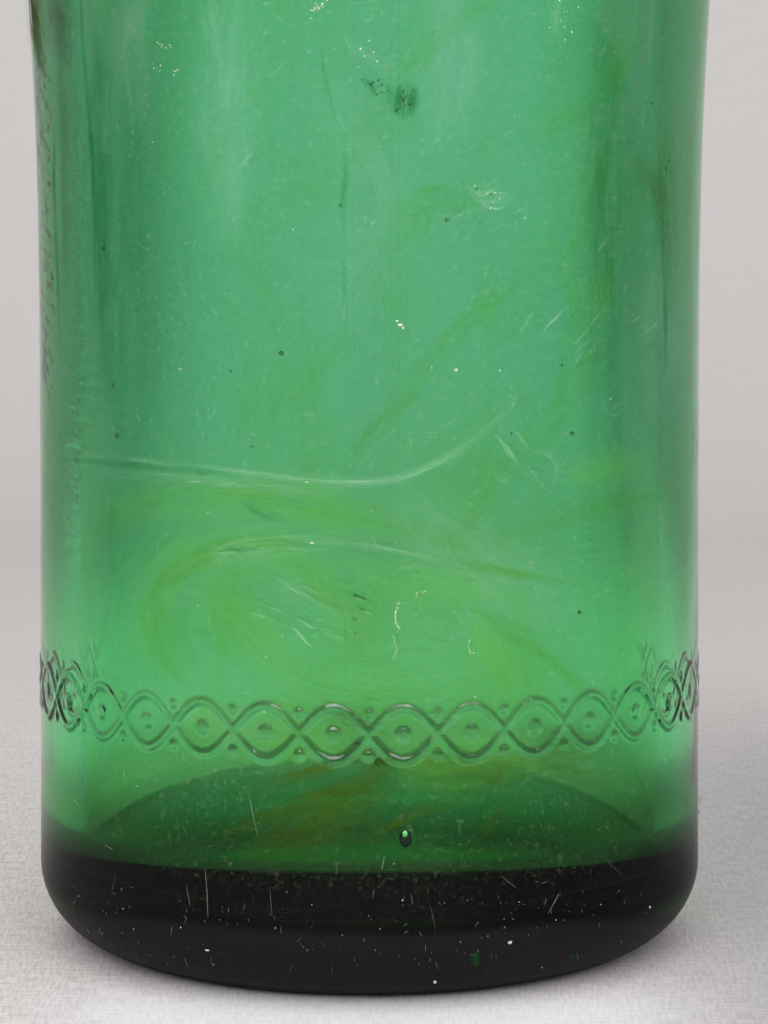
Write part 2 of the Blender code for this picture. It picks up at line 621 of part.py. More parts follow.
def make_dip_tube():
    """Clear tube from the head down to just above the floor, with its bush and nut."""
    ring(
        "dip_tube", DIP_TUBE_RADIUS - DIP_TUBE_WALL, DIP_TUBE_RADIUS,
        FLOOR_HEIGHT + DIP_TUBE_ABOVE_FLOOR, TUBE_SEAL_TOP - FIT_GAP,
        SHAFT_STEPS, CLEAR,
    )
    ring(
        "tube_seal", DIP_TUBE_HOLE_RADIUS, TUBE_BUSH_RADIUS,
        TUBE_SEAL_BOTTOM, TUBE_SEAL_TOP, SHAFT_STEPS, BLACK_RUBBER,
    )
    flange_bottom = TUBE_NUT_FLANGE_TOP - TUBE_NUT_FLANGE_HEIGHT
    turned("tube_nut", [
        (DIP_TUBE_HOLE_RADIUS, TUBE_NUT_TOP), (TUBE_BUSH_RADIUS, TUBE_NUT_TOP),
        (TUBE_BUSH_RADIUS, TUBE_NUT_FLANGE_TOP), (TUBE_NUT_FLANGE_RADIUS, TUBE_NUT_FLANGE_TOP),
        (TUBE_NUT_FLANGE_RADIUS, flange_bottom), (DIP_TUBE_HOLE_RADIUS, flange_bottom),
    ], SHAFT_STEPS, YELLOW_BRASS)


def make_spring_seat():
    """Washer under the spring, with ports round its middle hole."""
    seat = ring(
        "spring_seat", SPRING_SEAT_HOLE_RADIUS, TUBE_BUSH_RADIUS,
        SPRING_SEAT_BOTTOM, SPRING_SEAT_TOP, SHAFT_STEPS, YELLOW_BRASS,
    )
    port_circle = (SPRING_SEAT_HOLE_RADIUS + SPRING_RADIUS - SPRING_WIRE_RADIUS) / 2
    middle = (SPRING_SEAT_BOTTOM + SPRING_SEAT_TOP) / 2
    for index in range(SPRING_SEAT_PORT_COUNT):
        angle = 2 * pi * (index + SPRING_SEAT_PORT_TURN) / SPRING_SEAT_PORT_COUNT
        centre = (port_circle * cos(angle), port_circle * sin(angle), middle)
        depth = SPRING_SEAT_THICKNESS + 2 * CUT_OVERRUN
        port = prism(f"seat_port_{index}", SPRING_SEAT_PORT_RADIUS, 8, depth, centre)
        combine(seat, port, "DIFFERENCE")


def make_valve_spring():
    """Compression spring as one tube along a helix, with closed end turns."""
    low = SPRING_BOTTOM + SPRING_WIRE_RADIUS
    high = SPRING_TOP - SPRING_WIRE_RADIUS
    count = round(SPRING_TURNS * SPRING_POINTS_PER_TURN) + 1
    points = []
    for index in range(count):
        share = index / (count - 1)
        angle = 2 * pi * SPRING_TURNS * share
        height = low + (high - low) * share
        points.append((SPRING_RADIUS * cos(angle), SPRING_RADIUS * sin(angle), height))
    swept_tube("valve_spring", points, [SPRING_WIRE_RADIUS] * count, 6, SPRING_STEEL)
    ends = np.array(points)
    spans = np.linalg.norm(ends[:, None, :] - ends[None, :, :], axis=2)
    apart = abs(np.subtract.outer(range(count), range(count))) > SPRING_POINTS_PER_TURN / 2
    gap = spans[apart].min() - 2 * SPRING_WIRE_RADIUS
    print(f"valve_spring: least gap between turns {gap * 1000:.2f} mm")


def make_valve():
    """Stem with its collar, the rubber disc in its brass cup, and the nut below them."""
    collar_top = VALVE_SEAT + STEM_COLLAR_HEIGHT
    turned("valve_stem", [
        (0.0, STEM_TOP), (STEM_RADIUS, STEM_TOP), (STEM_RADIUS, collar_top),
        (STEM_COLLAR_RADIUS, collar_top), (STEM_COLLAR_RADIUS, VALVE_SEAT),
        (STEM_RADIUS, VALVE_SEAT), (STEM_RADIUS, STEM_BOTTOM), (0.0, STEM_BOTTOM),
    ], SHAFT_STEPS, YELLOW_BRASS, closed=False)
    ring(
        "valve_disc", STEM_HOLE_RADIUS, VALVE_DISC_RADIUS,
        DISC_BOTTOM, DISC_TOP, SHAFT_STEPS, BLACK_RUBBER,
    )
    rim = HOLDER_FLOOR_TOP + HOLDER_RIM
    turned("valve_holder", [
        (HOLDER_INNER_RADIUS, rim), (HOLDER_RADIUS, rim), (HOLDER_RADIUS, HOLDER_BOTTOM),
        (STEM_HOLE_RADIUS, HOLDER_BOTTOM), (STEM_HOLE_RADIUS, HOLDER_FLOOR_TOP),
        (HOLDER_INNER_RADIUS, HOLDER_FLOOR_TOP),
    ], SHAFT_STEPS, YELLOW_BRASS)
    nut_middle = (0.0, 0.0, VALVE_NUT_TOP - VALVE_NUT_HEIGHT / 2)
    nut = prism("valve_nut", VALVE_NUT_RADIUS, 6, VALVE_NUT_HEIGHT, nut_middle, YELLOW_BRASS)
    hole = prism(
        "valve_nut_hole", STEM_HOLE_RADIUS, SHAFT_STEPS,
        VALVE_NUT_HEIGHT + 2 * CUT_OVERRUN, nut_middle,
    )
    combine(nut, hole, "DIFFERENCE")


def make_gland():
    """Packing, washer and nut round the stem at the head's top."""
    ring(
        "stem_packing", STEM_HOLE_RADIUS, GLAND_RADIUS,
        PACKING_BOTTOM, PACKING_TOP, SHAFT_STEPS, BLACK_RUBBER,
    )
    ring(
        "packing_washer", STEM_HOLE_RADIUS, GLAND_RADIUS,
        WASHER_BOTTOM, WASHER_TOP, SHAFT_STEPS, YELLOW_BRASS,
    )
    nut = rod(
        "gland_nut", GLAND_RADIUS, GLAND_NUT_BOTTOM, GLAND_HEX_BOTTOM + GLAND_HEX_HEIGHT / 4,
        SHAFT_STEPS, YELLOW_BRASS,
    )
    hexagon = prism(
        "gland_hexagon", GLAND_HEX_RADIUS, 6, GLAND_HEX_HEIGHT,
        (0.0, 0.0, (GLAND_HEX_BOTTOM + GLAND_HEX_TOP) / 2),
    )
    hexagon.rotation_euler.z = pi / 6
    combine(nut, hexagon, "UNION")
    height = GLAND_HEX_TOP - GLAND_NUT_BOTTOM
    hole = prism(
        "gland_hole", STEM_HOLE_RADIUS, SHAFT_STEPS, height + 2 * CUT_OVERRUN,
        (0.0, 0.0, GLAND_NUT_BOTTOM + height / 2),
    )
    combine(nut, hole, "DIFFERENCE")


def make_stem_cap():
    """Button screwed on the stem, with a rounded top edge."""
    edge = STEM_CAP_ROOF / 2
    roof = CAP_TOP - STEM_CAP_ROOF
    profile = [(0.0, CAP_TOP)]
    profile += arc((STEM_CAP_RADIUS - edge, CAP_TOP - edge), (edge, edge), 90, 0, 4)
    profile += [
        (STEM_CAP_RADIUS, CAP_BOTTOM), (STEM_HOLE_RADIUS, CAP_BOTTOM),
        (STEM_HOLE_RADIUS, roof), (0.0, roof),
    ]
    turned("stem_cap", profile, SHAFT_STEPS, YELLOW_BRASS, closed=False)


def lever_line(count):
    """Middle line of the lever as (x, z) points: tongue, crest, handle and curled end."""
    crest = (CREST_REACH, PIVOT_HEIGHT + CREST_RISE)
    handle = (HANDLE_REACH, PIVOT_HEIGHT - HANDLE_DROP)
    end = (HANDLE_REACH + CURL_REACH, PIVOT_HEIGHT - HANDLE_DROP - CURL_DROP)
    lean = (CURL_REACH * 0.16, CURL_DROP * 0.42)
    tongue = bezier([
        (-PIVOT_OFFSET, PIVOT_HEIGHT), (-PIVOT_OFFSET * 0.7, PIVOT_HEIGHT + CREST_RISE * 0.9),
        (-PIVOT_OFFSET * 0.25, crest[1]), crest,
    ], count)
    back = bezier([
        crest, (crest[0] + (handle[0] - crest[0]) * 0.55, crest[1]),
        (handle[0] - lean[0] * 3.2, handle[1] + lean[1] * 2.2), handle,
    ], count)
    curl = bezier([
        handle, (handle[0] + lean[0], handle[1] - lean[1]),
        (end[0] - CURL_REACH * 0.55, end[1] + CURL_DROP * 0.06), end,
    ], count)
    return tongue + back[1:] + curl[1:]


def make_lever():
    """Handle as a loft of rounded sections that widens along its middle line."""
    line = np.array(lever_line(9))
    along = np.gradient(line, axis=0)
    along /= np.linalg.norm(along, axis=1)[:, None]
    travel = np.concatenate([[0.0], np.cumsum(np.linalg.norm(np.diff(line, axis=0), axis=1))])
    share = travel / travel[-1]
    narrow = TONGUE_WIDTH - FIT_GAP
    shape = bmesh.new()
    rings = []
    for (x, z), (tx, tz), s in zip(line, along, share):
        spread = np.clip((s - 0.22) / 0.5, 0.0, 1.0)
        width = narrow + (HANDLE_WIDTH - narrow) * spread**2 * (3 - 2 * spread)
        thickness = CREST_THICKNESS + (HANDLE_THICKNESS - CREST_THICKNESS) * spread
        section = []
        for k in range(LEVER_SIDES):
            angle = 2 * pi * k / LEVER_SIDES
            across = abs(cos(angle)) ** 0.6 * np.sign(cos(angle)) * width / 2
            deep = abs(sin(angle)) ** 0.8 * np.sign(sin(angle)) * thickness / 2
            section.append(shape.verts.new((x - tz * deep, across, z + tx * deep)))
        rings.append(section)
    for first, second in zip(rings, rings[1:]):
        for k in range(LEVER_SIDES):
            after = (k + 1) % LEVER_SIDES
            shape.faces.new((first[k], first[after], second[after], second[k]))
    shape.faces.new(rings[0][::-1])
    shape.faces.new(rings[-1])
    bmesh.ops.recalc_face_normals(shape, faces=shape.faces)
    mesh = bpy.data.meshes.new("lever")
    shape.to_mesh(mesh)
    shape.free()
    lever = add_piece("lever", mesh, WHITE_METAL)
    eye = prism(
        "lever_eye", TONGUE_RADIUS, SHAFT_STEPS, TONGUE_WIDTH,
        (-PIVOT_OFFSET, 0.0, PIVOT_HEIGHT), across=True,
    )
    nub = prism(
        "lever_nub", NUB_RADIUS, SHAFT_STEPS, TONGUE_WIDTH,
        (0.0, 0.0, CAP_TOP + FIT_GAP + NUB_RADIUS), across=True,
    )
    combine(lever, eye, "UNION")
    combine(lever, nub, "UNION")
    combine(lever, pin_hole("lever_pin_hole", TONGUE_WIDTH), "DIFFERENCE")
    place_origin(lever, (-PIVOT_OFFSET, 0.0, PIVOT_HEIGHT))


def place_origin(piece, point):
    """Put a moving piece's origin on its joint without moving its shape."""
    piece.data.transform(Matrix.Translation(-Vector(point)))
    piece.location = point


def make_lever_pin():
    """Pin along Y with a riveted head at each end."""
    shank = EAR_OUTER + FIT_GAP
    edge = PIN_HEAD_HEIGHT / 2
    head_base = PIN_HEAD_RADIUS - edge
    upper = [(0.0, shank + PIN_HEAD_HEIGHT), (head_base, shank + PIN_HEAD_HEIGHT)]
    upper += [(PIN_HEAD_RADIUS, shank + edge), (PIN_HEAD_RADIUS, shank), (PIN_RADIUS, shank)]
    profile = upper + [(radius, -along) for radius, along in reversed(upper)]
    pin = turned("lever_pin", profile, SHAFT_STEPS, SPRING_STEEL, closed=False)
    pin.rotation_euler = (pi / 2, 0.0, 0.0)
    pin.location = (-PIVOT_OFFSET, 0.0, PIVOT_HEIGHT)


def make_parts():
    make_glass_bottle()
    make_mouth_gasket()
    make_collar()
    make_head_body()
    make_nozzle()
    make_dip_tube()
    make_spring_seat()
    make_valve_spring()
    make_valve()
    make_gland()
    make_stem_cap()
    make_lever()
    make_lever_pin()
    finish_shapes()


clear_scene()
PARTS = add_collection("siphon_bottle")
CUTTERS = add_collection("cutters")
GREEN = add_material("green_glass", GREEN_GLASS, 0.0, 0.05, 1.0)
CLEAR = add_material("clear_glass", CLEAR_GLASS, 0.0, 0.05, 1.0)
WHITE_METAL = add_material("white_metal", CAST_METAL, 1.0, 0.45)
YELLOW_BRASS = add_material("brass", BRASS, 1.0, 0.4)
BLACK_RUBBER = add_material("rubber", RUBBER, 0.0, 0.7)
SPRING_STEEL = add_material("steel", STEEL, 1.0, 0.35)
make_parts()
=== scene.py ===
from math import cos, pi, radians, sin

import bpy
import numpy as np
from bpy.props import FloatProperty, FloatVectorProperty, PointerProperty
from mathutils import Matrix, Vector


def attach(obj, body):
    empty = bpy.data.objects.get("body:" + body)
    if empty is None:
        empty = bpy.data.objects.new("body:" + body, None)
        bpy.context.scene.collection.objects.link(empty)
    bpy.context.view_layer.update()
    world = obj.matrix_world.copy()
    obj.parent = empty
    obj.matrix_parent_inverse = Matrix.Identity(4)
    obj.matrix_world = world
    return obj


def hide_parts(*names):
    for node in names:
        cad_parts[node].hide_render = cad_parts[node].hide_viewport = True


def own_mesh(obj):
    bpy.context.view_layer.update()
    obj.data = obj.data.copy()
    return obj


bl_info = {
    "name": "Siphon bottle looks",
    "version": (1, 0, 0),
    "blender": (4, 5, 0),
    "location": "View3D > Sidebar > Siphon",
    "description": "Finishes a packed siphon bottle: glass, relief, marks, metal head and stage",
    "category": "Object",
}

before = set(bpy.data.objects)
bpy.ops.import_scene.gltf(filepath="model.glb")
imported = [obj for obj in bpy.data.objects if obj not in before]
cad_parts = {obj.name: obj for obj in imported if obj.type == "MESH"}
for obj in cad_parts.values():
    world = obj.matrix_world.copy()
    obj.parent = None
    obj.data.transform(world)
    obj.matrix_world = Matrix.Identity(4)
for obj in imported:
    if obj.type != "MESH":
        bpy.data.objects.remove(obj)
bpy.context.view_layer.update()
MM = 0.001
MOTHER = "bottle"

# Glass sizes, as in the solids
WAIST_RADIUS = 48.55 * MM
HEEL_SWELL = 0.65 * MM
SHOULDER_SWELL = 2.15 * MM
HEEL_HEIGHT = 12.0 * MM
HEEL_ROUND = 12.6 * MM
FOOT_WIDTH = 7.6 * MM
KICK_RISE = 3.0 * MM
WAIST_HEIGHT = 94.0 * MM
SHOULDER_HEIGHT = 168.0 * MM
DOME_HEIGHT = 45.0 * MM
NECK_START = SHOULDER_HEIGHT + DOME_HEIGHT
NECK_RADIUS = 16.5 * MM
BEAD_BOTTOM = 223.0 * MM
BEAD_RADIUS = 19.5 * MM
LIP_BOTTOM = 231.0 * MM
LIP_RADIUS = 15.8 * MM
MOUTH_RADIUS = 11.5 * MM
GLASS_TOP = 238.0 * MM
WALL = 6.4 * MM
FLOOR_LOW = 8.0 * MM
FLOOR_RIM = 19.4 * MM
FLOOR_DROP = 3.6 * MM
WAIST_CURVE = 1.3
SHOULDER_RADIUS = WAIST_RADIUS + SHOULDER_SWELL
FOOT_RADIUS = WAIST_RADIUS + HEEL_SWELL - HEEL_ROUND
FOOT_INNER_RADIUS = FOOT_RADIUS - FOOT_WIDTH

# Band of relief round the front of the body
BAND_MIDDLE = 39.3 * MM
BAND_HALF_ROOM = 5.6 * MM
BAND_REACH = radians(104)
FRONT = radians(-90)

# The picture that the marks are placed in, and what one of its pixels measures on the wall
PICTURE_WIDE, PICTURE_HIGH = 768.0, 1024.0
SENSOR = 36.0
PIXEL = 0.1485 * MM
LOWEST_MARK = 1.5 * MM


def length(name, description, default):
    return FloatProperty(name=name, description=description, default=default, unit="LENGTH")


def tone(name, description, default):
    return FloatVectorProperty(
        name=name, description=description, subtype="COLOR", default=default, min=0.0, max=1.0,
    )


class SiphonStageSettings(bpy.types.PropertyGroup):
    distance: length("Camera distance", "From the camera to the bottle's axis", 0.6)
    elevation: FloatProperty(
        name="Camera elevation", description="Angle above the horizon",
        default=radians(7.7), subtype="ANGLE",
    )
    aim_height: length("Aim height", "Height of the point that the camera looks at", 63.6 * MM)
    aim_side: length("Aim side", "How far right of the axis the camera looks", 2.15 * MM)
    lens: FloatProperty(name="Lens", description="Focal length in millimetres", default=142.07)
    linen: tone("Linen", "Colour of the floor and backdrop", (0.61, 0.577, 0.570))


class SiphonGlassSettings(bpy.types.PropertyGroup):
    absorption: tone("Absorption colour", "What the glass lets through", (0.03, 0.845, 0.44))
    density: FloatProperty(name="Absorption density", description="For each metre", default=133.0)
    relief: length("Relief height", "How far the band's ornament stands out", 0.25 * MM)
    sway: length("Wall sway", "How much the blown wall's thickness changes", 0.35 * MM)


class SiphonMetalSettings(bpy.types.PropertyGroup):
    clean: tone("Clean metal", "The head where it is rubbed", (0.60, 0.60, 0.58))
    dull: tone("Dull metal", "The head where it has aged", (0.30, 0.29, 0.27))
    brass: tone("Brass", "Nuts, stem and button", (0.60, 0.43, 0.17))


def settings(name):
    return getattr(bpy.context.scene, name)


def link_object(name, data):
    made = bpy.data.objects.new(name, data)
    bpy.context.scene.collection.objects.link(made)
    return made


# Meshes from arrays


def mesh_object(name, shell, material):
    """Smooth mesh from a shell: an array of vertices and a list of face arrays, each with faces of one
    size."""
    vertices, faces = shell
    mesh = bpy.data.meshes.new(name)
    mesh.from_pydata(vertices.tolist(), [], [face for part in faces for face in part.tolist()])
    mesh.validate()
    mesh.shade_smooth()
    mesh.materials.append(material)
    return link_object(name, mesh)


def mesh_piece(name, shell, material, body=MOTHER):
    """A piece of the part, with edges left sharp where faces meet at more than 42 degrees."""
    piece = mesh_object(name, shell, material)
    piece.data.set_sharp_from_angle(angle=radians(42))
    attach(piece, body)
    return piece


def full_turn(count):
    return np.linspace(0.0, 2 * pi, count, endpoint=False)


def ring_quads(first, second):
    """Quads between two rings of vertex numbers with as many columns, the first one above."""
    return np.stack([first, second, np.roll(second, -1), np.roll(first, -1)], axis=1)


def grid_quads(numbers):
    """Quads of a grid of vertex numbers whose columns close round the axis."""
    return np.concatenate([ring_quads(a, b) for a, b in zip(numbers[:-1], numbers[1:])])


def pole_fan(ring, pole, before):
    """Triangles between a ring of vertex numbers and a pole that comes before or after it."""
    poles, after = np.full(len(ring), pole), np.roll(ring, -1)
    return np.stack([poles, ring, after] if before else [ring, poles, after], axis=1)


def closed_grid(points, start=None, end=None):
    """Shell from a grid whose columns close round. Its two ends are closed by the points start and end,
    or by joining the last row to the first."""
    numbers = np.arange(points.size // 3).reshape(points.shape[:2])
    vertices, faces = points.reshape(-1, 3), [grid_quads(numbers)]
    if start is None:
        return vertices, faces + [ring_quads(numbers[-1], numbers[0])]
    faces += [pole_fan(numbers[0], len(vertices), True), pole_fan(numbers[-1], len(vertices) + 1, False)]
    return np.concatenate([vertices, [start, end]]), faces


def join_shells(shells):
    """Several shells as one."""
    vertices, faces, offset = [], [], 0
    for points, parts in shells:
        vertices.append(points)
        faces += [part + offset for part in parts]
        offset += len(points)
    return np.concatenate(vertices), faces


def carried(radius, height, angles):
    """Grid of points round the axis: radius times cosine and sine of the angle, and the height."""
    return np.stack(np.broadcast_arrays(radius * np.cos(angles), radius * np.sin(angles), height), axis=2)


def turned_points(profile, angles):
    """Each (radius, height) row of a profile, carried round the axis at every angle."""
    return carried(*np.asarray(profile).T[..., None], angles)


def arc(centre, size, start, end, count):
    """Points of an ellipse from one angle to another, as (radius, height) rows."""
    angles = np.radians(np.linspace(start, end, count))
    return np.stack([centre[0] + size[0] * np.cos(angles), centre[1] + size[1] * np.sin(angles)], axis=1)


def bezier(points, count):
    """Cubic Bezier curve: the four points weighted by s^3, 3 s^2 t, 3 s t^2 and t^3."""
    a, b, c, d = (np.array(point, float) for point in points)
    t = np.linspace(0.0, 1.0, count)[:, None]
    s = 1.0 - t
    return a * s**3 + 3 * b * s**2 * t + 3 * c * s * t**2 + d * t**3


def held(value):
    """A value held between 0 and 1."""
    return np.clip(value, 0.0, 1.0)


def soft_step(value, edge):
    """Smooth rise from 0 to 1 while value goes from -edge to edge."""
    share = held((value + edge) / (2 * edge))
    return share * share * (3 - 2 * share)


def unit(vectors):
    return vectors / np.linalg.norm(vectors, axis=1)[:, None]


def travelled(path):
    """Length of a path up to each of its points."""
    return np.concatenate([[0.0], np.cumsum(np.linalg.norm(np.diff(path, axis=0), axis=1))])


# Finishes from nodes


class Field:
    """A node's output, which is added, multiplied, ramped and mixed as a number is."""

    def __init__(self, nodes, socket):
        self.nodes, self.socket = nodes, socket

    def math(self, operation, first, second):
        return self.nodes.node("Math", "Value", {0: first, 1: second}, operation=operation)

    def __add__(self, other):
        return self.math("ADD", self, other)

    def __sub__(self, other):
        return self.math("SUBTRACT", self, other)

    def __mul__(self, other):
        return self.math("MULTIPLY", self, other)

    def __abs__(self):
        return self.nodes.node("Math", "Value", {0: self}, operation="ABSOLUTE")

    def most(self, other):
        return self.math("MAXIMUM", self, other)

    def rest(self):
        """What is left of 1."""
        return self.math("SUBTRACT", 1.0, self)

    def ramp(self, low, high, to_low=0.0, to_high=1.0):
        """Smooth step from to_low, where the field is low, to to_high, where it is high."""
        limits = {"From Min": low, "From Max": high, "To Min": to_low, "To Max": to_high}
        inputs = {"Value": self, **limits}
        return self.nodes.node("MapRange", "Result", inputs, interpolation_type="SMOOTHSTEP")

    def fall(self, low, high, to_low=1.0):
        """Smooth step down to nothing."""
        return self.ramp(low, high, to_low, 0.0)

    def mix(self, first, second):
        """Colour from first to second as the field goes from 0 to 1."""
        return self.nodes.node("Mix", 2, {0: self, 6: first, 7: second}, data_type="RGBA")

    def bump(self, strength, distance, **normal):
        height = {"Strength": strength, "Distance": distance, "Height": self}
        return self.nodes.node("Bump", "Normal", {**height, **normal})


class Nodes:
    """The node tree of a new material or world, with short calls for the nodes that are used here."""

    def __init__(self, owner, coordinates="Object"):
        owner.use_nodes = True
        self.owner, self.tree = owner, owner.node_tree
        self.here = self.node("TexCoord", coordinates)

    def fill(self, socket, value):
        """Link a field to a socket, or give it a number, a vector or a colour of three channels."""
        if isinstance(value, Field):
            self.tree.links.new(value.socket, socket)
        else:
            socket.default_value = (*value, 1.0) if socket.type == "RGBA" else value

    def node(self, kind, output, inputs=None, **values):
        made = self.tree.nodes.new("ShaderNode" + kind)
        for key, value in values.items():
            setattr(made, key, value)
        for key, value in (inputs or {}).items():
            self.fill(made.inputs[key], value)
        return Field(self, made.outputs[output])

    def put(self, shader="Principled BSDF", **values):
        """Fill the sockets of a node, whose names are written with _ for each space."""
        for key, value in values.items():
            self.fill(self.tree.nodes[shader].inputs[key.replace("_", " ")], value)

    def axes(self):
        """The three coordinates."""
        parts = self.node("SeparateXYZ", "X", {"Vector": self.here}).socket.node
        return [Field(self, output) for output in parts.outputs]

    def mapped(self, scale, rotation=(0, 0, 0)):
        """Coordinates stretched and turned."""
        return self.node("Mapping", "Vector", {"Vector": self.here, "Scale": scale, "Rotation": rotation})

    def noise(self, scale, detail=4.0, roughness=0.5, distortion=0.0, at=None):
        inputs = {"Scale": scale, "Detail": detail, "Roughness": roughness, "Distortion": distortion}
        return self.node("TexNoise", "Fac", {"Vector": at or self.here, **inputs})

    def ray(self, kind):
        return self.node("LightPath", f"Is {kind} Ray")


def finish(name):
    return Nodes(bpy.data.materials.new(name))


# Green glass


def wall_radius(height):
    """Outer radius of the body: heel to waist by a power, waist to shoulder by a quartic."""
    below = np.clip((WAIST_HEIGHT - height) / (WAIST_HEIGHT - HEEL_HEIGHT), 0.0, None)
    above = held((height - WAIST_HEIGHT) / (SHOULDER_HEIGHT - WAIST_HEIGHT))
    return WAIST_RADIUS + HEEL_SWELL * below**WAIST_CURVE + SHOULDER_SWELL * above**3 * (4 - 3 * above)


def dome(shoulder_radius, neck_radius, sink, count):
    """The curve from the neck down to the shoulder; sink lowers its middle, for the inner face."""
    return bezier([
        (neck_radius, NECK_START), (neck_radius, NECK_START - 0.36 * DOME_HEIGHT - sink),
        (shoulder_radius, SHOULDER_HEIGHT + 0.58 * DOME_HEIGHT - sink), (shoulder_radius, SHOULDER_HEIGHT),
    ], count)


def wall_rows(top, bottom, count, inset=0.0):
    heights = np.linspace(top, bottom, count)
    return np.stack([wall_radius(heights) - inset, heights], axis=1)


def outer_profile_above():
    """Lip, bead, dome and wall down to the relief band."""
    lip, bead = 1.3 * MM, 2.7 * MM
    return np.concatenate([
        arc((LIP_RADIUS - lip, GLASS_TOP - lip), (lip, lip), 90, 0, 7),
        [(LIP_RADIUS, LIP_BOTTOM + lip)],
        arc((BEAD_RADIUS - bead, LIP_BOTTOM - bead), (bead, bead), 90, 0, 7),
        arc((BEAD_RADIUS - bead, BEAD_BOTTOM + bead), (bead, bead), 0, -90, 7),
        [(NECK_RADIUS, BEAD_BOTTOM)],
        dome(SHOULDER_RADIUS, NECK_RADIUS, 0.0, 27),
        wall_rows(SHOULDER_HEIGHT, BAND_MIDDLE + BAND_HALF_ROOM, 48)[1:],
    ])


def outer_profile_below():
    """Wall below the relief band, heel, foot ring and kick, ending beside the axis."""
    share = np.linspace(0.1, 0.97, 9)
    return np.concatenate([
        wall_rows(BAND_MIDDLE - BAND_HALF_ROOM, HEEL_HEIGHT, 10),
        arc((FOOT_RADIUS, HEEL_HEIGHT), (HEEL_ROUND, HEEL_HEIGHT), 0, -90, 22)[1:],
        [(FOOT_INNER_RADIUS + FOOT_WIDTH / 2, 0.0), (FOOT_INNER_RADIUS, 0.0)],
        np.stack([FOOT_INNER_RADIUS * (1 - share), KICK_RISE * np.sin(share * pi / 2)], axis=1),
    ])


def inner_profile():
    """Hollow floor from beside the axis outwards, wall and dome up to the mouth."""
    share = np.sin(np.linspace(0.03, pi / 2, 34))
    floor = wall_radius(np.array(FLOOR_RIM)) - WALL
    return np.concatenate([
        np.stack([floor * share, FLOOR_RIM - (FLOOR_RIM - FLOOR_LOW) * (1 - share**2) ** 0.7], axis=1),
        wall_rows(FLOOR_RIM, SHOULDER_HEIGHT, 44, inset=WALL)[1:],
        dome(SHOULDER_RADIUS - WALL, MOUTH_RADIUS, 0.6 * WALL, 22)[::-1][1:],
        [(MOUTH_RADIUS, GLASS_TOP - 6 * MM), (MOUTH_RADIUS, GLASS_TOP)],
    ])


def sway(points, amount, seed):
    """Smooth unevenness of blown glass: a sum of slow waves round the wall and up it, which are the
    weaker the more turns they make."""
    random = np.random.default_rng(seed)
    angle = np.arctan2(points[..., 1], points[..., 0])
    total = np.zeros(angle.shape)
    for turns in range(2, 12):
        rate = random.uniform(-18.0, 18.0)
        phase = random.uniform(0.0, 2 * pi)
        weight = random.uniform(0.5, 1.0) / turns**0.7
        total += weight * np.sin(turns * angle + rate * points[..., 2] + phase)
    return amount * total / 2.2


def moved_out(points, distance):
    """Move points away from the axis by a distance."""
    radius = np.hypot(points[..., 0], points[..., 1])
    moved = points.copy()
    moved[..., :2] *= ((radius + distance) / np.maximum(radius, 1e-6))[..., None]
    return moved


def ornament(along, across):
    """Relief height from 0 to 1 of two crossing waves with a pearl in each eye and at each crossing.
    along runs round the body and across runs up it, both in metres from the front's middle."""
    reach, eye, line, pearl, edge = 3.7 * MM, 9.6 * MM, 0.45 * MM, 0.95 * MM, 0.42 * MM
    rate = pi / eye
    slope = np.sqrt(1 + (reach * rate * np.cos(rate * along)) ** 2)
    middle = (np.round(along / eye - 0.5) + 0.5) * eye
    crossing = np.round(along / eye) * eye
    height = soft_step(pearl - np.hypot(along - middle, across), edge)
    for side in (-1, 1):
        away = np.abs(across - side * reach * np.sin(rate * along)) / slope
        height = np.maximum(height, soft_step(line - away, edge))
        away = np.hypot(along - crossing, across - side * 0.78 * reach)
        height = np.maximum(height, soft_step(0.62 * pearl - away, edge))
    return height


def bottle_angles(parts):
    """Column angles, close together over the front and wider behind, and the same with each step cut
    into equal parts."""
    front, back = radians(214), radians(146)
    coarse = np.concatenate([
        FRONT + np.linspace(-front / 2, front / 2, 214, endpoint=False),
        FRONT + front / 2 + np.linspace(0, back, 50, endpoint=False),
    ])
    steps = np.diff(np.append(coarse, coarse[0] + 2 * pi))
    return coarse, (coarse[:, None] + steps[:, None] * (np.arange(parts) / parts)).ravel()


def fan_strip(coarse, fine, parts, fine_below):
    """Faces that join a ring of few columns to a ring of many, each with all the fine points."""
    fine = fine.reshape(-1, parts)
    fine = np.concatenate([fine, np.roll(fine[:, 0], -1)[:, None]], axis=1)
    coarse, after = coarse[:, None], np.roll(coarse, -1)[:, None]
    if fine_below:
        return np.concatenate([coarse, fine, after], axis=1)
    return np.concatenate([fine[:, :1], coarse, after, fine[:, :0:-1]], axis=1)


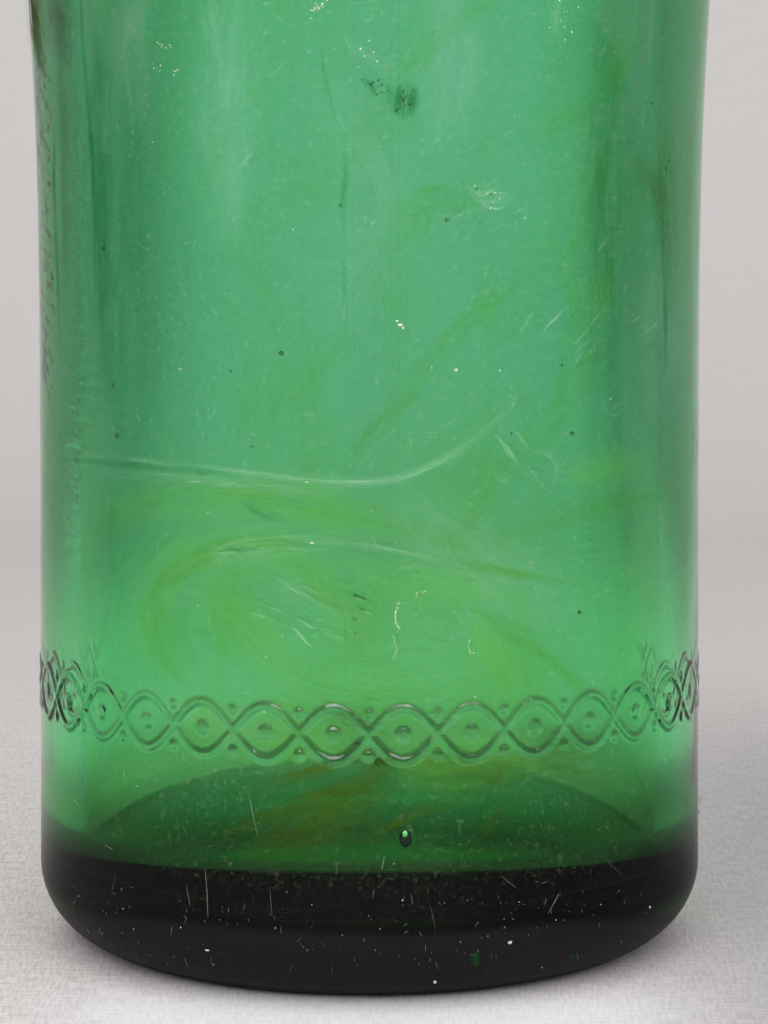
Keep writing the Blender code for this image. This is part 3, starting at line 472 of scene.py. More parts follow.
def make_green_bottle(material):
    """The blown bottle as one closed grid, with a finer band of columns where the relief lies."""
    parts = 3
    coarse, fine = bottle_angles(parts)
    values = settings("siphon_glass")
    profiles = outer_profile_above(), outer_profile_below(), inner_profile()
    above, below, inside = (turned_points(profile, coarse) for profile in profiles)
    rows = wall_rows(BAND_MIDDLE + BAND_HALF_ROOM, BAND_MIDDLE - BAND_HALF_ROOM, 42)
    band = turned_points(rows, fine)
    around = (fine - FRONT + pi) % (2 * pi) - pi
    fade = soft_step(BAND_REACH - np.abs(around), radians(3))
    along = around * wall_radius(np.array(BAND_MIDDLE))
    rise = ornament(along[None, :], rows[:, 1:] - BAND_MIDDLE)
    rise = rise * np.clip(0.72 + sway(band, 0.22, 5), 0.4, 1.0)
    band = moved_out(band, values.relief * rise * fade)

    height = inside[..., 2]
    swaying = held((height - FLOOR_RIM) / (25 * MM))
    swaying *= held((SHOULDER_HEIGHT + 15 * MM - height) / (40 * MM))
    inside = moved_out(inside, sway(inside, values.sway, 11) * swaying)
    lowered = soft_step(height - (FLOOR_LOW + FLOOR_RIM) / 2, (FLOOR_RIM - FLOOR_LOW) / 2)
    lowered *= soft_step(30 * MM - height, 10 * MM) * np.cos(coarse) ** 2
    inside[..., 2] -= FLOOR_DROP * lowered

    rings = [above, band, below, inside]
    numbers, total = [], 0
    for ring in rings:
        count = ring.size // 3
        numbers.append(np.arange(total, total + count).reshape(ring.shape[:2]))
        total += count
    poles = [(0, 0, KICK_RISE), (0, 0, inside[0, 0, 2])]
    vertices = np.concatenate([ring.reshape(-1, 3) for ring in rings] + [poles])
    quads = [grid_quads(part) for part in numbers] + [ring_quads(numbers[3][-1], numbers[0][0])]
    many = [
        fan_strip(numbers[0][-1], numbers[1][0], parts, fine_below=True),
        fan_strip(numbers[2][0], numbers[1][-1], parts, fine_below=False),
    ]
    ends = [pole_fan(numbers[2][-1], total, False), pole_fan(numbers[3][0], total + 1, True)]
    faces = [np.concatenate(part) for part in (quads, many, ends)]
    piece = mesh_piece("green_bottle", (vertices, faces), material)
    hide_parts("glass_bottle")


def green_glass():
    """Clear body colour from absorption, with olive cords, amber smears, a dull worn skin and waves. Painted
    shade darkens the heel's corner and, in purple-black, the front skin just above the base; below an edge
    that sinks from the front to the back, heel and base are painted near black and opaque."""
    values = settings("siphon_glass")
    glass = finish("green_glass")
    glass.put(Transmission_Weight=1.0, IOR=1.5, Sheen_Weight=0.0)
    x, y, z = glass.axes()
    cords = glass.noise(55.0, 3.0, 0.55, 1.2, at=glass.mapped((1.0, 1.0, 0.35), (0.0, radians(38), 0.0)))
    broad = glass.noise(22.0, 2.0, at=glass.mapped((1.0, 1.0, 0.6))).ramp(0.45, 0.7)
    tint = (cords.ramp(0.52, 0.72) * 0.55).mix((0.93, 0.99, 0.98), (0.72, 0.92, 0.35))
    tint = (broad * 0.35).mix(tint, (0.85, 0.97, 0.68))
    tint = (z.fall(50 * MM, 88 * MM) * 0.3).mix(tint, (1.0, 1.0, 0.66))
    reach = x * x + y * y
    # Painted shade: the heel's corner, low on the inner skin, is tinted darker olive.
    heel = z.fall(22 * MM, 31 * MM) * 0.9 * reach.ramp((41.5 * MM) ** 2, (42.5 * MM) ** 2)
    tint = heel.mix(tint, (0.64, 0.68, 0.41))
    skin = (43.2 * MM) ** 2, (44.2 * MM) ** 2
    # Painted shade: the front skin just above the base is tinted purple-black.
    thick = z.fall(16 * MM, 20.5 * MM) * reach.ramp(*skin) * y.fall(-22 * MM, -6 * MM)
    tint = thick.mix(tint, (0.24, 0.12, 0.18))
    # Painted shade: below this edge, low at the front and higher behind, heel and base turn near black and
    # opaque.
    edge = y.ramp(-44 * MM, -6 * MM, 12.4 * MM, 5.0 * MM) + y.ramp(1 * MM, 11 * MM, 0.0, -8 * MM)
    away = z + broad * (0.6 * MM) - edge
    tint = away.fall(0.0, 1.5 * MM).mix(tint, (0.006, 0.005, 0.005))
    dust = glass.noise(1300.0, 3.0, 0.75).ramp(0.52, 0.80, 1.0, 0.92)
    wear = glass.noise(420.0, 6.0, 0.7).ramp(0.5, 0.85, 0.02, 0.16)
    scale = reach.fall(*skin, 0.3) * z.fall(19 * MM, 21 * MM)
    waves = glass.noise(38.0, 2.0, at=glass.mapped((1.0, 1.0, 0.4))) * z.ramp(21 * MM, 30 * MM)
    where = glass.noise(34.0, 1.0).ramp(0.5, 0.64) * z.ramp(26 * MM, 42 * MM)
    chill = glass.noise(420.0, 2.0, at=glass.mapped((0.55, 0.55, 1.7), (0.0, 0.35, 0.0))) * where
    glass.put(
        Base_Color=tint, Roughness=wear.most(scale),
        Transmission_Weight=away.ramp(-1.8 * MM, -0.2 * MM) * dust,
        Normal=chill.bump(0.5, 0.12 * MM, Normal=waves.bump(0.35, 0.6 * MM)),
    )
    body = {"Color": values.absorption, "Density": values.density}
    glass.put("Material Output", Volume=glass.node("VolumeAbsorption", "Volume", body))
    return glass.owner


class SIPHON_OT_bottle(bpy.types.Operator):
    """Blow the green bottle with its band of relief"""

    bl_idname = "siphon.bottle"
    bl_label = "Green bottle"

    def execute(self, context):
        make_green_bottle(green_glass())
        return {"FINISHED"}


# Shells of turned, drawn and cast pieces


def eased(profile, radius, count=4, loop=True):
    """Profile with each corner turned into a short parabola that begins and ends radius away."""
    points = np.asarray(profile, float)
    start, end = (
        (points + away * np.minimum(radius / np.maximum(np.hypot(*away.T), 1e-9), 0.45)[:, None])[:, None]
        for away in (np.roll(points, side, axis=0) - points for side in (1, -1))
    )
    t = np.linspace(0.0, 1.0, count)[None, :, None]
    rounded = ((1 - t) ** 2 * start + 2 * t * (1 - t) * points[:, None] + t**2 * end).reshape(-1, 2)
    return rounded if loop else np.concatenate([points[:1], rounded[count:-count], points[-1:]])


def turned_shell(profile, steps=96):
    """Profile of (radius, height) rows, in millimetres, carried round the axis. One that begins and
    ends on the axis is closed by poles, and any other by joining its last row to its first."""
    profile = np.asarray(profile) * MM
    angles = full_turn(steps)
    if profile[0, 0] > 0.0:
        return closed_grid(turned_points(profile, angles))
    poles = [(0.0, 0.0, profile[row, 1]) for row in (0, -1)]
    return closed_grid(turned_points(profile[1:-1], angles), *poles)


def laid_across(shell, place):
    """A shell turned to lie along Y and carried to a place, in millimetres."""
    points, faces = shell
    return np.stack([points[:, 0], -points[:, 2], points[:, 1]], axis=1) + np.array(place) * MM, faces


def tube_points(path, side, radii, sides):
    """Circles of the given radii round each point of a path, square to it; side is any vector, or one
    for each point, that isn't along the path."""
    tangent = unit(np.gradient(path, axis=0))
    first = unit(side - (side * tangent).sum(axis=1)[:, None] * tangent)[:, None]
    second = np.cross(tangent, first[:, 0])[:, None]
    angles = full_turn(sides)[None, :, None]
    radii = np.broadcast_to(np.asarray(radii, float), len(path))[:, None, None]
    return path[:, None] + radii * (np.cos(angles) * first - np.sin(angles) * second)


def tube_shell(path, side, radii, sides):
    """A tube whose ends are closed by a point each."""
    return closed_grid(tube_points(path, side, radii, sides), path[0], path[-1])


def melted(piece, voxel, rounds):
    """Overlapping shells made one skin, as in a casting: remeshed in small cubes, then relaxed, which
    leaves a small fillet in every corner."""
    remesh = piece.modifiers.new("melt", "REMESH")
    remesh.mode = "VOXEL"
    remesh.voxel_size = voxel
    relax = piece.modifiers.new("relax", "SMOOTH")
    relax.factor = 0.5
    relax.iterations = rounds
    bpy.context.view_layer.update()
    mesh = bpy.data.meshes.new_from_object(piece.evaluated_get(bpy.context.evaluated_depsgraph_get()))
    mesh.name = piece.name
    material = piece.data.materials[0]
    piece.modifiers.clear()
    piece.data = mesh
    mesh.materials.clear()
    mesh.materials.append(material)
    mesh.shade_smooth()


# Marks in and on the glass


def on_wall(pixels, depth=0.0):
    """Points on the bottle's front, under the outer face by depth, that the camera sees at these pixels
    of the picture: the camera's ray through each, met with the wall's circle."""
    values = settings("siphon_stage")
    tilt = values.elevation
    forward = np.array([0.0, cos(tilt), -sin(tilt)])
    up = np.array([0.0, sin(tilt), cos(tilt)])
    eye = np.array([values.aim_side, 0.0, values.aim_height]) - forward * values.distance
    pixels = np.atleast_2d(np.asarray(pixels, float))
    ray = forward * (values.lens / SENSOR * PICTURE_HIGH)
    ray = ray + (pixels[:, :1] - PICTURE_WIDE / 2) * np.array([1.0, 0.0, 0.0])
    ray = ray + (PICTURE_HIGH / 2 - pixels[:, 1:2]) * up
    radius = np.full(len(pixels), WAIST_RADIUS)
    for _ in range(3):
        a = (ray[:, :2] ** 2).sum(axis=1)
        b = (ray[:, :2] * eye[:2]).sum(axis=1)
        c = (eye[:2] ** 2).sum() - (radius - depth) ** 2
        along = (-b - np.sqrt(np.maximum(b * b - a * c, 0.0))) / a
        points = eye + ray * along[:, None]
        radius = outer_radius(points[:, 2])
    return points


def outer_radius(height):
    """Outer radius of heel and wall at a height."""
    drop = np.clip((HEEL_HEIGHT - height) / HEEL_HEIGHT, 0.0, 0.98)
    heel = FOOT_RADIUS + HEEL_ROUND * np.sqrt(1.0 - drop**2)
    return np.where(height < HEEL_HEIGHT, heel, wall_radius(height))


def outward(points):
    """Unit vectors away from the axis."""
    return unit(points * np.array([1.0, 1.0, 0.0]))


def smooth_path(points, count):
    """A curve through points, given as x, y, x, y and so on: each stretch is the cubic that leaves and
    meets them along the line between their neighbours."""
    points = np.reshape(points, (-1, 2)).astype(float)
    ends = np.concatenate([[2 * points[0] - points[1]], points, [2 * points[-1] - points[-2]]])
    place = np.linspace(0.0, len(points) - 1.000001, count)
    index = place.astype(int)
    t = (place - index)[:, None]
    a, b, c, d = (ends[index + step] for step in range(4))
    return 0.5 * (2 * b + (c - a) * t + (2 * a - 5 * b + 4 * c - d) * t**2 + (3 * b - a - 3 * c + d) * t**3)


def pebble(x, y, wide, high, thick, depth=0.0, columns=8, rows=5):
    """Ellipsoid in or on the wall at a pixel, with half sizes in pixels along and up the wall and thick
    square to it: sines and cosines of two angles times the three half sizes."""
    centre = on_wall((x, y), depth)[0]
    normal = outward(centre[None])[0]
    side = np.cross((0.0, 0.0, 1.0), normal)
    side /= np.linalg.norm(side)
    top = np.cross(normal, side) * (high * PIXEL)
    level = np.linspace(0.0, pi, rows + 2)[1:-1, None]
    angles = full_turn(columns)[None, :]
    points = centre + (
        (np.sin(level) * np.cos(angles))[..., None] * side * (wide * PIXEL)
        + (np.sin(level) * np.sin(angles))[..., None] * -normal * thick
        + (np.cos(level) * np.ones_like(angles))[..., None] * top
    )
    return closed_grid(points[:, ::-1], centre + top, centre - top)


# Bubbles, each (x, y, half width, half height) in the picture
SEEDS = (
    (107, 248, 2.6, 2.2), (282, 353, 2.2, 2.2), (446, 220, 2.0, 1.8), (116, 385, 1.8, 1.8),
    (120, 435, 2.0, 2.6), (570, 433, 2.2, 1.8), (577, 612, 2.0, 1.8), (212, 846, 2.6, 1.4),
    (648, 103, 1.4, 1.4), (232, 371, 1.2, 1.2), (253, 446, 1.2, 1.0), (560, 365, 1.2, 1.4),
    (664, 160, 1.4, 3.2), (319, 822, 1.4, 1.4), (341, 205, 1.2, 1.4), (510, 433, 1.0, 1.0),
)
# Soft bands in the glass: half width, strength, then x and y of each point in the picture
OLIVE_STREAKS = (
    (35, 0.28, 640, 30, 611, 73, 586, 108, 548, 122, 505, 150),
    (32, 0.26, 612, 120, 603, 160, 590, 205, 574, 253, 580, 300, 590, 335, 566, 392),
    (22, 0.37, 612, 262, 603, 286, 592, 310, 560, 350),
    (18, 0.4, 520, 278, 505, 294, 472, 318, 427, 367, 386, 416, 352, 452),
    (30, 0.28, 496, 180, 472, 196, 430, 212, 399, 229, 360, 262),
    (18, 0.31, 500, -10, 488, 4, 440, 37, 407, 65, 380, 96),
    (27, 0.25, 352, 330, 337, 343, 288, 408, 262, 440),
    (27, 0.28, 600, 348, 590, 367, 545, 425, 508, 462, 470, 520, 440, 560),
    (14, 0.37, 420, 392, 407, 402, 370, 437, 338, 478), (40, 0.28, 372, 236, 392, 276, 400, 330, 392, 372),
    (24, 0.37, 92, 545, 105, 522, 142, 502, 190, 492, 244, 494, 305, 502, 354, 512, 407, 530, 452, 540,
     500, 544),
    (22, 0.28, 488, 544, 533, 530, 590, 510, 640, 498, 676, 492),
    (15, 0.59, 146, 612, 154, 594, 170, 578, 199, 559, 235, 545, 272, 541, 306, 548),
    (46, 0.46, 158, 596, 162, 622, 172, 655, 190, 690),
    (27, 0.37, 282, 546, 296, 564, 322, 588, 356, 606, 384, 618),
    (8, 0.56, 440, 560, 462, 564, 500, 570, 550, 580, 600, 588),
    (12, 0.53, 466, 604, 484, 612, 509, 628, 550, 657, 584, 692, 600, 716),
    (59, 0.28, 480, 626, 500, 668, 524, 716), (54, 0.31, 326, 585, 346, 620, 352, 668),
    (46, 0.31, 246, 560, 240, 610, 250, 668), (68, 0.25, 130, 560, 240, 640, 330, 690, 470, 700, 580, 660),
    (10, 0.5, 414, 192, 430, 189, 449, 184), (4, 0.5, 471, 196, 462, 206, 446, 221),
)
BROWN_STREAKS = (
    (26, 0.42, 330, 744, 390, 762, 460, 770, 540, 762, 620, 744), (18, 0.34, 520, 730, 560, 742, 600, 736),
    (22, 0.42, 320, 716, 352, 722, 390, 730), (11, 0.8, 362, 746, 346, 757, 313, 771, 272, 783, 236, 800),
    (14, 0.85, 402, 758, 382, 768, 354, 787, 305, 803, 262, 818, 215, 842),
    (42, 0.5, 400, 776, 354, 800, 300, 826, 244, 852),
    (10, 0.62, 446, 752, 468, 764, 484, 776, 496, 776, 502, 756),
    (8, 0.26, 512, 800, 500, 812, 484, 831, 470, 848),
    (9, 0.65, 470, 798, 452, 803, 419, 811, 386, 827, 352, 846),
    (15, 0.4, 536, 758, 560, 770, 590, 778, 620, 776), (20, 0.35, 640, 150, 652, 190, 660, 232),
    (10, 0.3, 60, 20, 62, 100, 66, 200, 64, 330), (12, 0.3, 668, 120, 667, 180, 669, 260, 668, 330),
    # This last band, at the top left edge, is a painted dark reflection.
    (11, 0.75, 32, -40, 34, 0, 37, 36, 41, 72),
)
PALE_STREAKS = (
    (8, 0.15, 40, 452, 84, 455, 142, 461, 203, 469, 272, 476, 346, 482, 386, 481, 415, 473, 440, 461,
     468, 445, 501, 416, 522, 396),
    (3, 0.25, 250, 473, 300, 480, 346, 482.5, 386, 481, 415, 473, 440, 461, 470, 443),
    (12, 0.1, 80, 470, 160, 478, 240, 486, 330, 490, 380, 484),
    (6, 0.2, 158, 592, 172, 574, 200, 556, 236, 543, 282, 538, 330, 541, 380, 547, 430, 558, 470, 563),
    (10, 0.13, 196, 572, 232, 556, 280, 550, 330, 552), (8, 0.09, 520, 452, 546, 452, 560, 470, 548, 486),
    (14, 0.08, 205, -10, 209, 20, 214, 60), (12, 0.1, 346, 30, 354, 48, 384, 68, 398, 78),
    (10, 0.13, 554, -6, 558, 16, 556, 40), (17, 0.12, 470, 196, 490, 196, 512, 200),
    (2.6, 0.34, 477, 190, 483, 195, 490, 191, 498, 186), (2.6, 0.32, 475, 199, 483, 204, 492, 201, 501, 203),
    (2.4, 0.3, 481, 183, 479, 193, 485, 205, 495, 212), (3.0, 0.26, 487, 206, 495, 209, 504, 207),
    (2.4, 0.22, 469, 183, 470, 190, 475, 197), (20, 0.08, 270, 585, 320, 600, 380, 640),
    (22, 0.07, 140, 700, 220, 720, 300, 730),
)
YELLOW_PATCHES = (
    (46, 0.38, 150, 660, 150, 610, 182, 566, 240, 552, 300, 566, 340, 600),
    (36, 0.32, 190, 590, 230, 610, 270, 650, 300, 690), (30, 0.38, 470, 612, 486, 640, 506, 676, 524, 712),
    (24, 0.3, 330, 560, 400, 580, 470, 590, 540, 600),
    (40, 0.27, 90, 520, 160, 504, 250, 500, 340, 514, 430, 536),
    (44, 0.3, 380, 748, 420, 764, 480, 762, 540, 756), (40, 0.29, 150, 700, 220, 724, 300, 742, 360, 750),
    (30, 0.26, 560, 480, 600, 470, 650, 462), (26, 0.14, 590, 120, 584, 180, 580, 250),
)
# Painted sheen: pale bluish bands that stand for gloss on the skin.
PAINTED_SHEEN = (
    (44, 0.13, 232, -30, 228, 60, 226, 160, 236, 260), (26, 0.12, 136, -30, 132, 50, 140, 130),
    (46, 0.11, 448, -30, 452, 60, 440, 150), (34, 0.1, 668, 240, 660, 330, 664, 430),
    (50, 0.08, 320, 60, 380, 200, 330, 340), (62, 0.11, 390, 500, 450, 545, 520, 590, 580, 610),
)
SMUDGES = (
    (24, 0.42, 104, -30, 102, 90, 104, 220, 112, 350, 116, 440),
    (30, 0.4, 618, 30, 606, 120, 604, 220, 606, 320, 600, 400), (16, 0.3, 136, 120, 132, 220, 140, 330),
    (8, 0.8, 401, 82, 397, 100, 395, 117), (10, 0.95, 409, 78, 406, 100, 403, 121),
    (8, 0.85, 416, 84, 414, 100, 411, 118), (7, 0.55, 400, 84, 396, 98, 398, 116),
    (7, 0.45, 362, 76, 370, 86, 377, 97), (6, 0.35, 384, 80, 390, 92, 386, 108),
    (4, 0.4, 321, 52, 325, 76, 330, 100, 336, 120), (5, 0.34, 344, 150, 345, 176, 342, 208, 344, 240),
    (4, 0.3, 342, 258, 344, 282, 343, 308), (3, 0.95, 80, -10, 84, 60, 90, 130, 94, 200, 95, 300),
    (10, 0.45, 100, 30, 96, 120, 102, 240, 104, 380), (5, 0.45, 60, 459, 110, 463, 170, 468, 236, 474),
    (14, 0.42, 606, 120, 602, 180, 598, 240, 604, 300), (8, 0.4, 240, 500, 262, 512, 290, 522),
    (3, 0.6, 54, 120, 54, 190, 57, 270, 60, 360), (34, 0.16, 106, 470, 104, 560, 100, 650),
    (3, 0.55, 660, 150, 662, 220, 665, 300, 666, 380), (6, 0.5, 477, 951, 475, 960, 477, 968),
    (4, 0.4, 569, 958, 576, 956),
)


def make_bubbles():
    """Bubbles in the wall, and a large one near the heel: a dark egg in the skin, painted bubble shade,
    with a painted glint high on its front."""
    shells = [pebble(*seed, min(seed[2:]) * PIXEL, 1.1 * MM, 16, 11) for seed in SEEDS]
    mesh_piece("bubbles", join_shells(shells), bubble_skin())
    # A painted glint, bright green, and the big bubble's painted shade, near black.
    glint = plain_material("bubble_glint", (0.10, 0.47, 0.12), 0.3)
    body = plain_material("bubble_body", (0.010, 0.024, 0.010), 0.15)
    for name, material, x, y, wide, high, depth in (
        ("big_bubble", body, 405.3, 838.5, 5.8, 8.0, 0.30),
        ("bubble_glint", glint, 405.0, 833.8, 2.5, 3.1, -0.34),
    ):
        shell = pebble(x, y, wide, high, 0.5 * wide * PIXEL, depth * MM, 16, 11)
        mesh_piece(name, shell, material)


def make_streaks(name, streaks, material):
    """Soft bands on the skin. Each is a ribbon whose middle is a smooth curve and whose cross lines
    stand square to it, one for every few pixels; its UV map holds pixels along and across, over 100,
    and its attribute fade falls from the strength at the middle to nothing at the edges and ends."""
    shells, maps, fades = [], [], []
    columns, pixels_between_rows, fewest, most = 9, 3, 10, 60
    lift, map_unit, map_gap = 0.03 * MM, 100.0, 3.7
    across = np.linspace(-1.0, 1.0, columns)
    for number, (half, strength, *points) in enumerate(streaks):
        reach = travelled(np.reshape(points, (-1, 2)))[-1]
        rows = int(np.clip(reach / pixels_between_rows, fewest, most))
        line = smooth_path(points, rows)
        along = np.gradient(line, axis=0)
        step = np.linalg.norm(along, axis=1)
        square = np.stack([-along[:, 1], along[:, 0]], axis=1) / step[:, None]
        share = np.linspace(0.0, 1.0, rows)
        width = half * (0.55 + 0.45 * np.sin(pi * share))
        spots = line[:, None] + across[None, :, None] * (square * width[:, None])[:, None]
        skin = on_wall(spots.reshape(-1, 2), -lift)
        grid = np.arange(rows * columns).reshape(rows, columns)
        quads = np.stack([grid[:-1, :-1], grid[1:, :-1], grid[1:, 1:], grid[:-1, 1:]], axis=2).reshape(-1, 4)
        # A face in the middle of a row tells whether they all look inwards
        a, b, c = skin[quads[4 * columns, [0, 1, 3]]]
        if np.dot(np.cross(b - a, c - a), a * (1, 1, 0)) < 0:
            quads = quads[:, ::-1]
        shells.append((skin, [quads]))
        places = np.cumsum(step)[:, None] / map_unit, across * width[:, None] / map_unit + map_gap * number
        maps.append(np.stack(np.broadcast_arrays(*places), axis=2).reshape(-1, 2))
        fades.append((strength * np.sin(pi * share)[:, None] ** 0.7 * (1.0 - across**2) ** 2).ravel())
    mesh = mesh_piece(name, join_shells(shells), material).data
    corners = np.empty(len(mesh.loops), np.int32)
    mesh.loops.foreach_get("vertex_index", corners)
    layer = mesh.uv_layers.new(name="streak")
    layer.data.foreach_set("uv", np.concatenate(maps)[corners].astype(np.float32).ravel())
    fade = mesh.attributes.new("fade", "FLOAT", "POINT")
    fade.data.foreach_set("value", np.concatenate(fades).astype(np.float32))


def ripples():
    """Fine wavy lines in patches of the wall, as streaks: dark ones and pale ones by turns. Each patch
    has a middle, half sizes, a lean and a number of lines."""
    random = np.random.default_rng(33)
    kinds = [], []
    for x, y, wide, high, lean, count in (
        (315, 612, 62, 32, 0.35, 34), (252, 556, 40, 9, -0.18, 10), (530, 465, 30, 24, 0.9, 12),
        (608, 342, 44, 26, -0.75, 18), (190, 482, 60, 9, 0.08, 8), (430, 574, 60, 8, 0.06, 6),
        (330, 120, 130, 90, -0.8, 10), (520, 250, 90, 90, -0.75, 12),
    ):
        for number in range(count):
            middle = np.array([x + random.uniform(-wide, wide), y + random.uniform(-high, high)])
            angle = lean + random.normal(0.0, 0.12)
            steps = np.linspace(-0.5, 0.5, 4)[:, None] * random.uniform(14, 36)
            line = middle + steps * np.array([cos(angle), sin(angle)])
            line[:, 1] += random.normal(0.0, 1.5, 4)
            kinds[number % 2].append((random.uniform(1.5, 3.0), random.uniform(0.10, 0.26), *line.ravel()))
    return kinds


def streak_coat(name, colour, strands, low, high):
    """See-through coat of a streak: its strands are noise drawn out along the UV map."""
    coat = finish(name)
    place = coat.node("UVMap", "UV", uv_map="streak")
    drawn = coat.node("Mapping", "Vector", {"Vector": place, "Scale": (1.3, strands, 1.0)})
    fade = coat.node("Attribute", "Fac", attribute_name="fade")
    cover = fade * coat.noise(1.0, 4.0, 0.6, 0.4, at=drawn).ramp(low, high, 0.15)
    coat.put(Base_Color=colour, Roughness=0.6, Specular_IOR_Level=0.0, Alpha=cover)
    return coat.owner


def make_scratches(material):
    """Fine scores on the outside: short threads that stand a hair above the skin, most on the heel."""
    random = np.random.default_rng(5)
    lines = [
        (248, 790, 253, 815, 258, 836), (592, 848, 610, 864, 628, 881), (205, 868, 207, 892, 208, 918),
        (186, 884, 190, 905), (500, 875, 516, 888), (270, 890, 272, 916), (430, 905, 436, 930),
        (560, 892, 548, 914), (116, 872, 112, 892), (345, 300, 344, 322), (343, 200, 342, 240),
    ]
    for _ in range(110):
        x, y = random.uniform(75, 665), random.uniform(880, 968)
        lean, reach = random.normal(0.0, 1.1), 2.0 + 10.0 * random.random() ** 2
        lines.append((x, y, x + reach * sin(lean) * 0.6, y + reach * cos(lean)))
    for _ in range(60):
        x, y = random.uniform(60, 670), random.uniform(30, 860)
        lean, reach = random.normal(0.3, 0.7), random.uniform(3.0, 16.0)
        lines.append((x, y, x + reach * sin(lean), y + reach * cos(lean)))
    shells = []
    lift, thinnest, thickest_low, thickest = 0.01 * MM, 0.008, 0.022, 0.032
    for line in lines:
        points = on_wall(smooth_path(line, 7))
        points = points + outward(points) * lift
        most = thickest_low if points[0, 2] < FLOOR_RIM else thickest
        radii = random.uniform(thinnest, most) * MM * np.array([0.3, 0.8, 1.0, 1.0, 1.0, 0.8, 0.3])
        if points[:, 2].min() > LOWEST_MARK:
            shells.append(tube_shell(points, outward(points), radii, 4))
    mesh_piece("scratches", join_shells(shells), material)


def make_specks(name, places, material):
    """Flecks stuck on the skin: flat pebbles of the given pixel sizes."""
    shells = [pebble(*place, 0.04 * MM) for place in places if on_wall(place[:2])[0, 2] > LOWEST_MARK]
    mesh_piece(name, join_shells(shells), material)


def pale_specks():
    """Places of the pale flecks: plain ones, crumbs in clusters, crusts along lines and a fine scatter."""
    random = np.random.default_rng(8)
    places = [
        (400, 325, 2.5, 1.5), (397, 321, 1.4, 1.0), (403, 328, 1.0, 1.4), (456, 370, 1.6, 1.6),
        (510, 942, 2.3, 2.1), (207, 950, 2.2, 1.2), (435, 982, 1.4, 1.6), (650, 907, 1.4, 1.4),
        # The first fleck here, at 307, 482, is a painted highlight on a swirl in the glass.
        (307, 482, 2.6, 0.6), (312, 543, 2.2, 0.6), (264, 712, 0.9, 0.9),
    ]
    for x, y, wide, high, count in (
        (166, 45, 5, 2, 10), (157, 68, 3, 3, 6), (173, 71, 3, 2, 5), (317, 10, 6, 4, 14), (326, 5, 3, 2, 5),
        (366, 50, 10, 7, 10), (486, 196, 9, 8, 9), (562, 22, 8, 12, 10), (180, 367, 2, 2, 3),
    ):
        for across, down in random.normal(0.0, 1.0, (count, 2)):
            grain = random.uniform(0.35, 1.1)
            places.append((x + across * wide, y + down * high, grain, grain * random.uniform(0.5, 1.1)))
    for count, size, *crust in (
        (9, 0.62, 416, 596, 418, 592, 426, 592), (8, 0.62, 404, 604, 399, 603, 397, 608),
        (24, 0.72, 397, 608, 395.5, 614, 395.5, 621, 399.5, 630),
        (16, 0.55, 393, 637, 395, 643, 397, 649, 394, 656),
        (14, 0.58, 469, 640, 469, 647, 470, 652, 480, 652.5),
        (9, 0.42, 454, 611, 460, 620, 464, 626, 466, 637),
        (14, 0.40, 483, 515, 477, 524, 468, 535, 462, 548, 461, 560, 457, 566),
    ):
        for x, y in smooth_path(crust, count) + random.normal(0.0, 0.6, (count, 2)):
            grain = size * random.uniform(0.45, 1.0)
            places.append((x, y, grain, grain * random.uniform(0.8, 1.5)))
    for count, across, down, least, more, power, longest in (
        (420, (60, 680), (10, 970), 0.2, 0.55, 6, 1.4), (70, (80, 665), (885, 965), 0.22, 0.4, 4, 1.6),
    ):
        for _ in range(count):
            x, y = random.uniform(*across), random.uniform(*down)
            size = least + more * random.random() ** power
            places.append((x, y, size, size * random.uniform(0.7, longest)))
    return places


def dirt_specks():
    """Places of the brown flecks: clusters and a few on their own."""
    random = np.random.default_rng(21)
    places = []
    for x, y, wide, high, count in ((405, 101, 9, 10, 26), (378, 88, 9, 10, 16), (488, 192, 12, 10, 4)):
        for _ in range(count):
            size = random.uniform(0.35, 1.05)
            across, down = random.normal(0.0, wide * 0.6), random.normal(0.0, high * 0.6)
            places.append((x + across, y + down, size, size * random.uniform(0.6, 1.3)))
    return places + [(700, 800, 1.4, 5.5), (699, 812, 1.2, 3.0), (666, 168, 1.2, 3.4), (668, 224, 1.0, 2.4)]


def plain_material(name, colour, roughness):
    """A dull coat whose colour drifts between the given one and a darker one."""
    coat = finish(name)
    drift = coat.noise(900.0, 3.0).ramp(0.35, 0.7)
    coat.put(Base_Color=drift.mix([0.7 * channel for channel in colour], colour), Roughness=roughness)
    return coat.owner


def bubble_skin():
    """Bubbles as opaque beads: painted shade at the rim and painted green light in the middle, by facing."""
    skin = finish("bubble")
    # Painted shade at the rim, painted green light in the middle.
    rim = skin.node("LayerWeight", "Facing", {"Blend": 0.35}).ramp(0.05, 0.45)
    skin.put(Base_Color=rim.mix((0.10, 0.42, 0.16), (0.004, 0.02, 0.008)), Roughness=0.12)
    return skin.owner


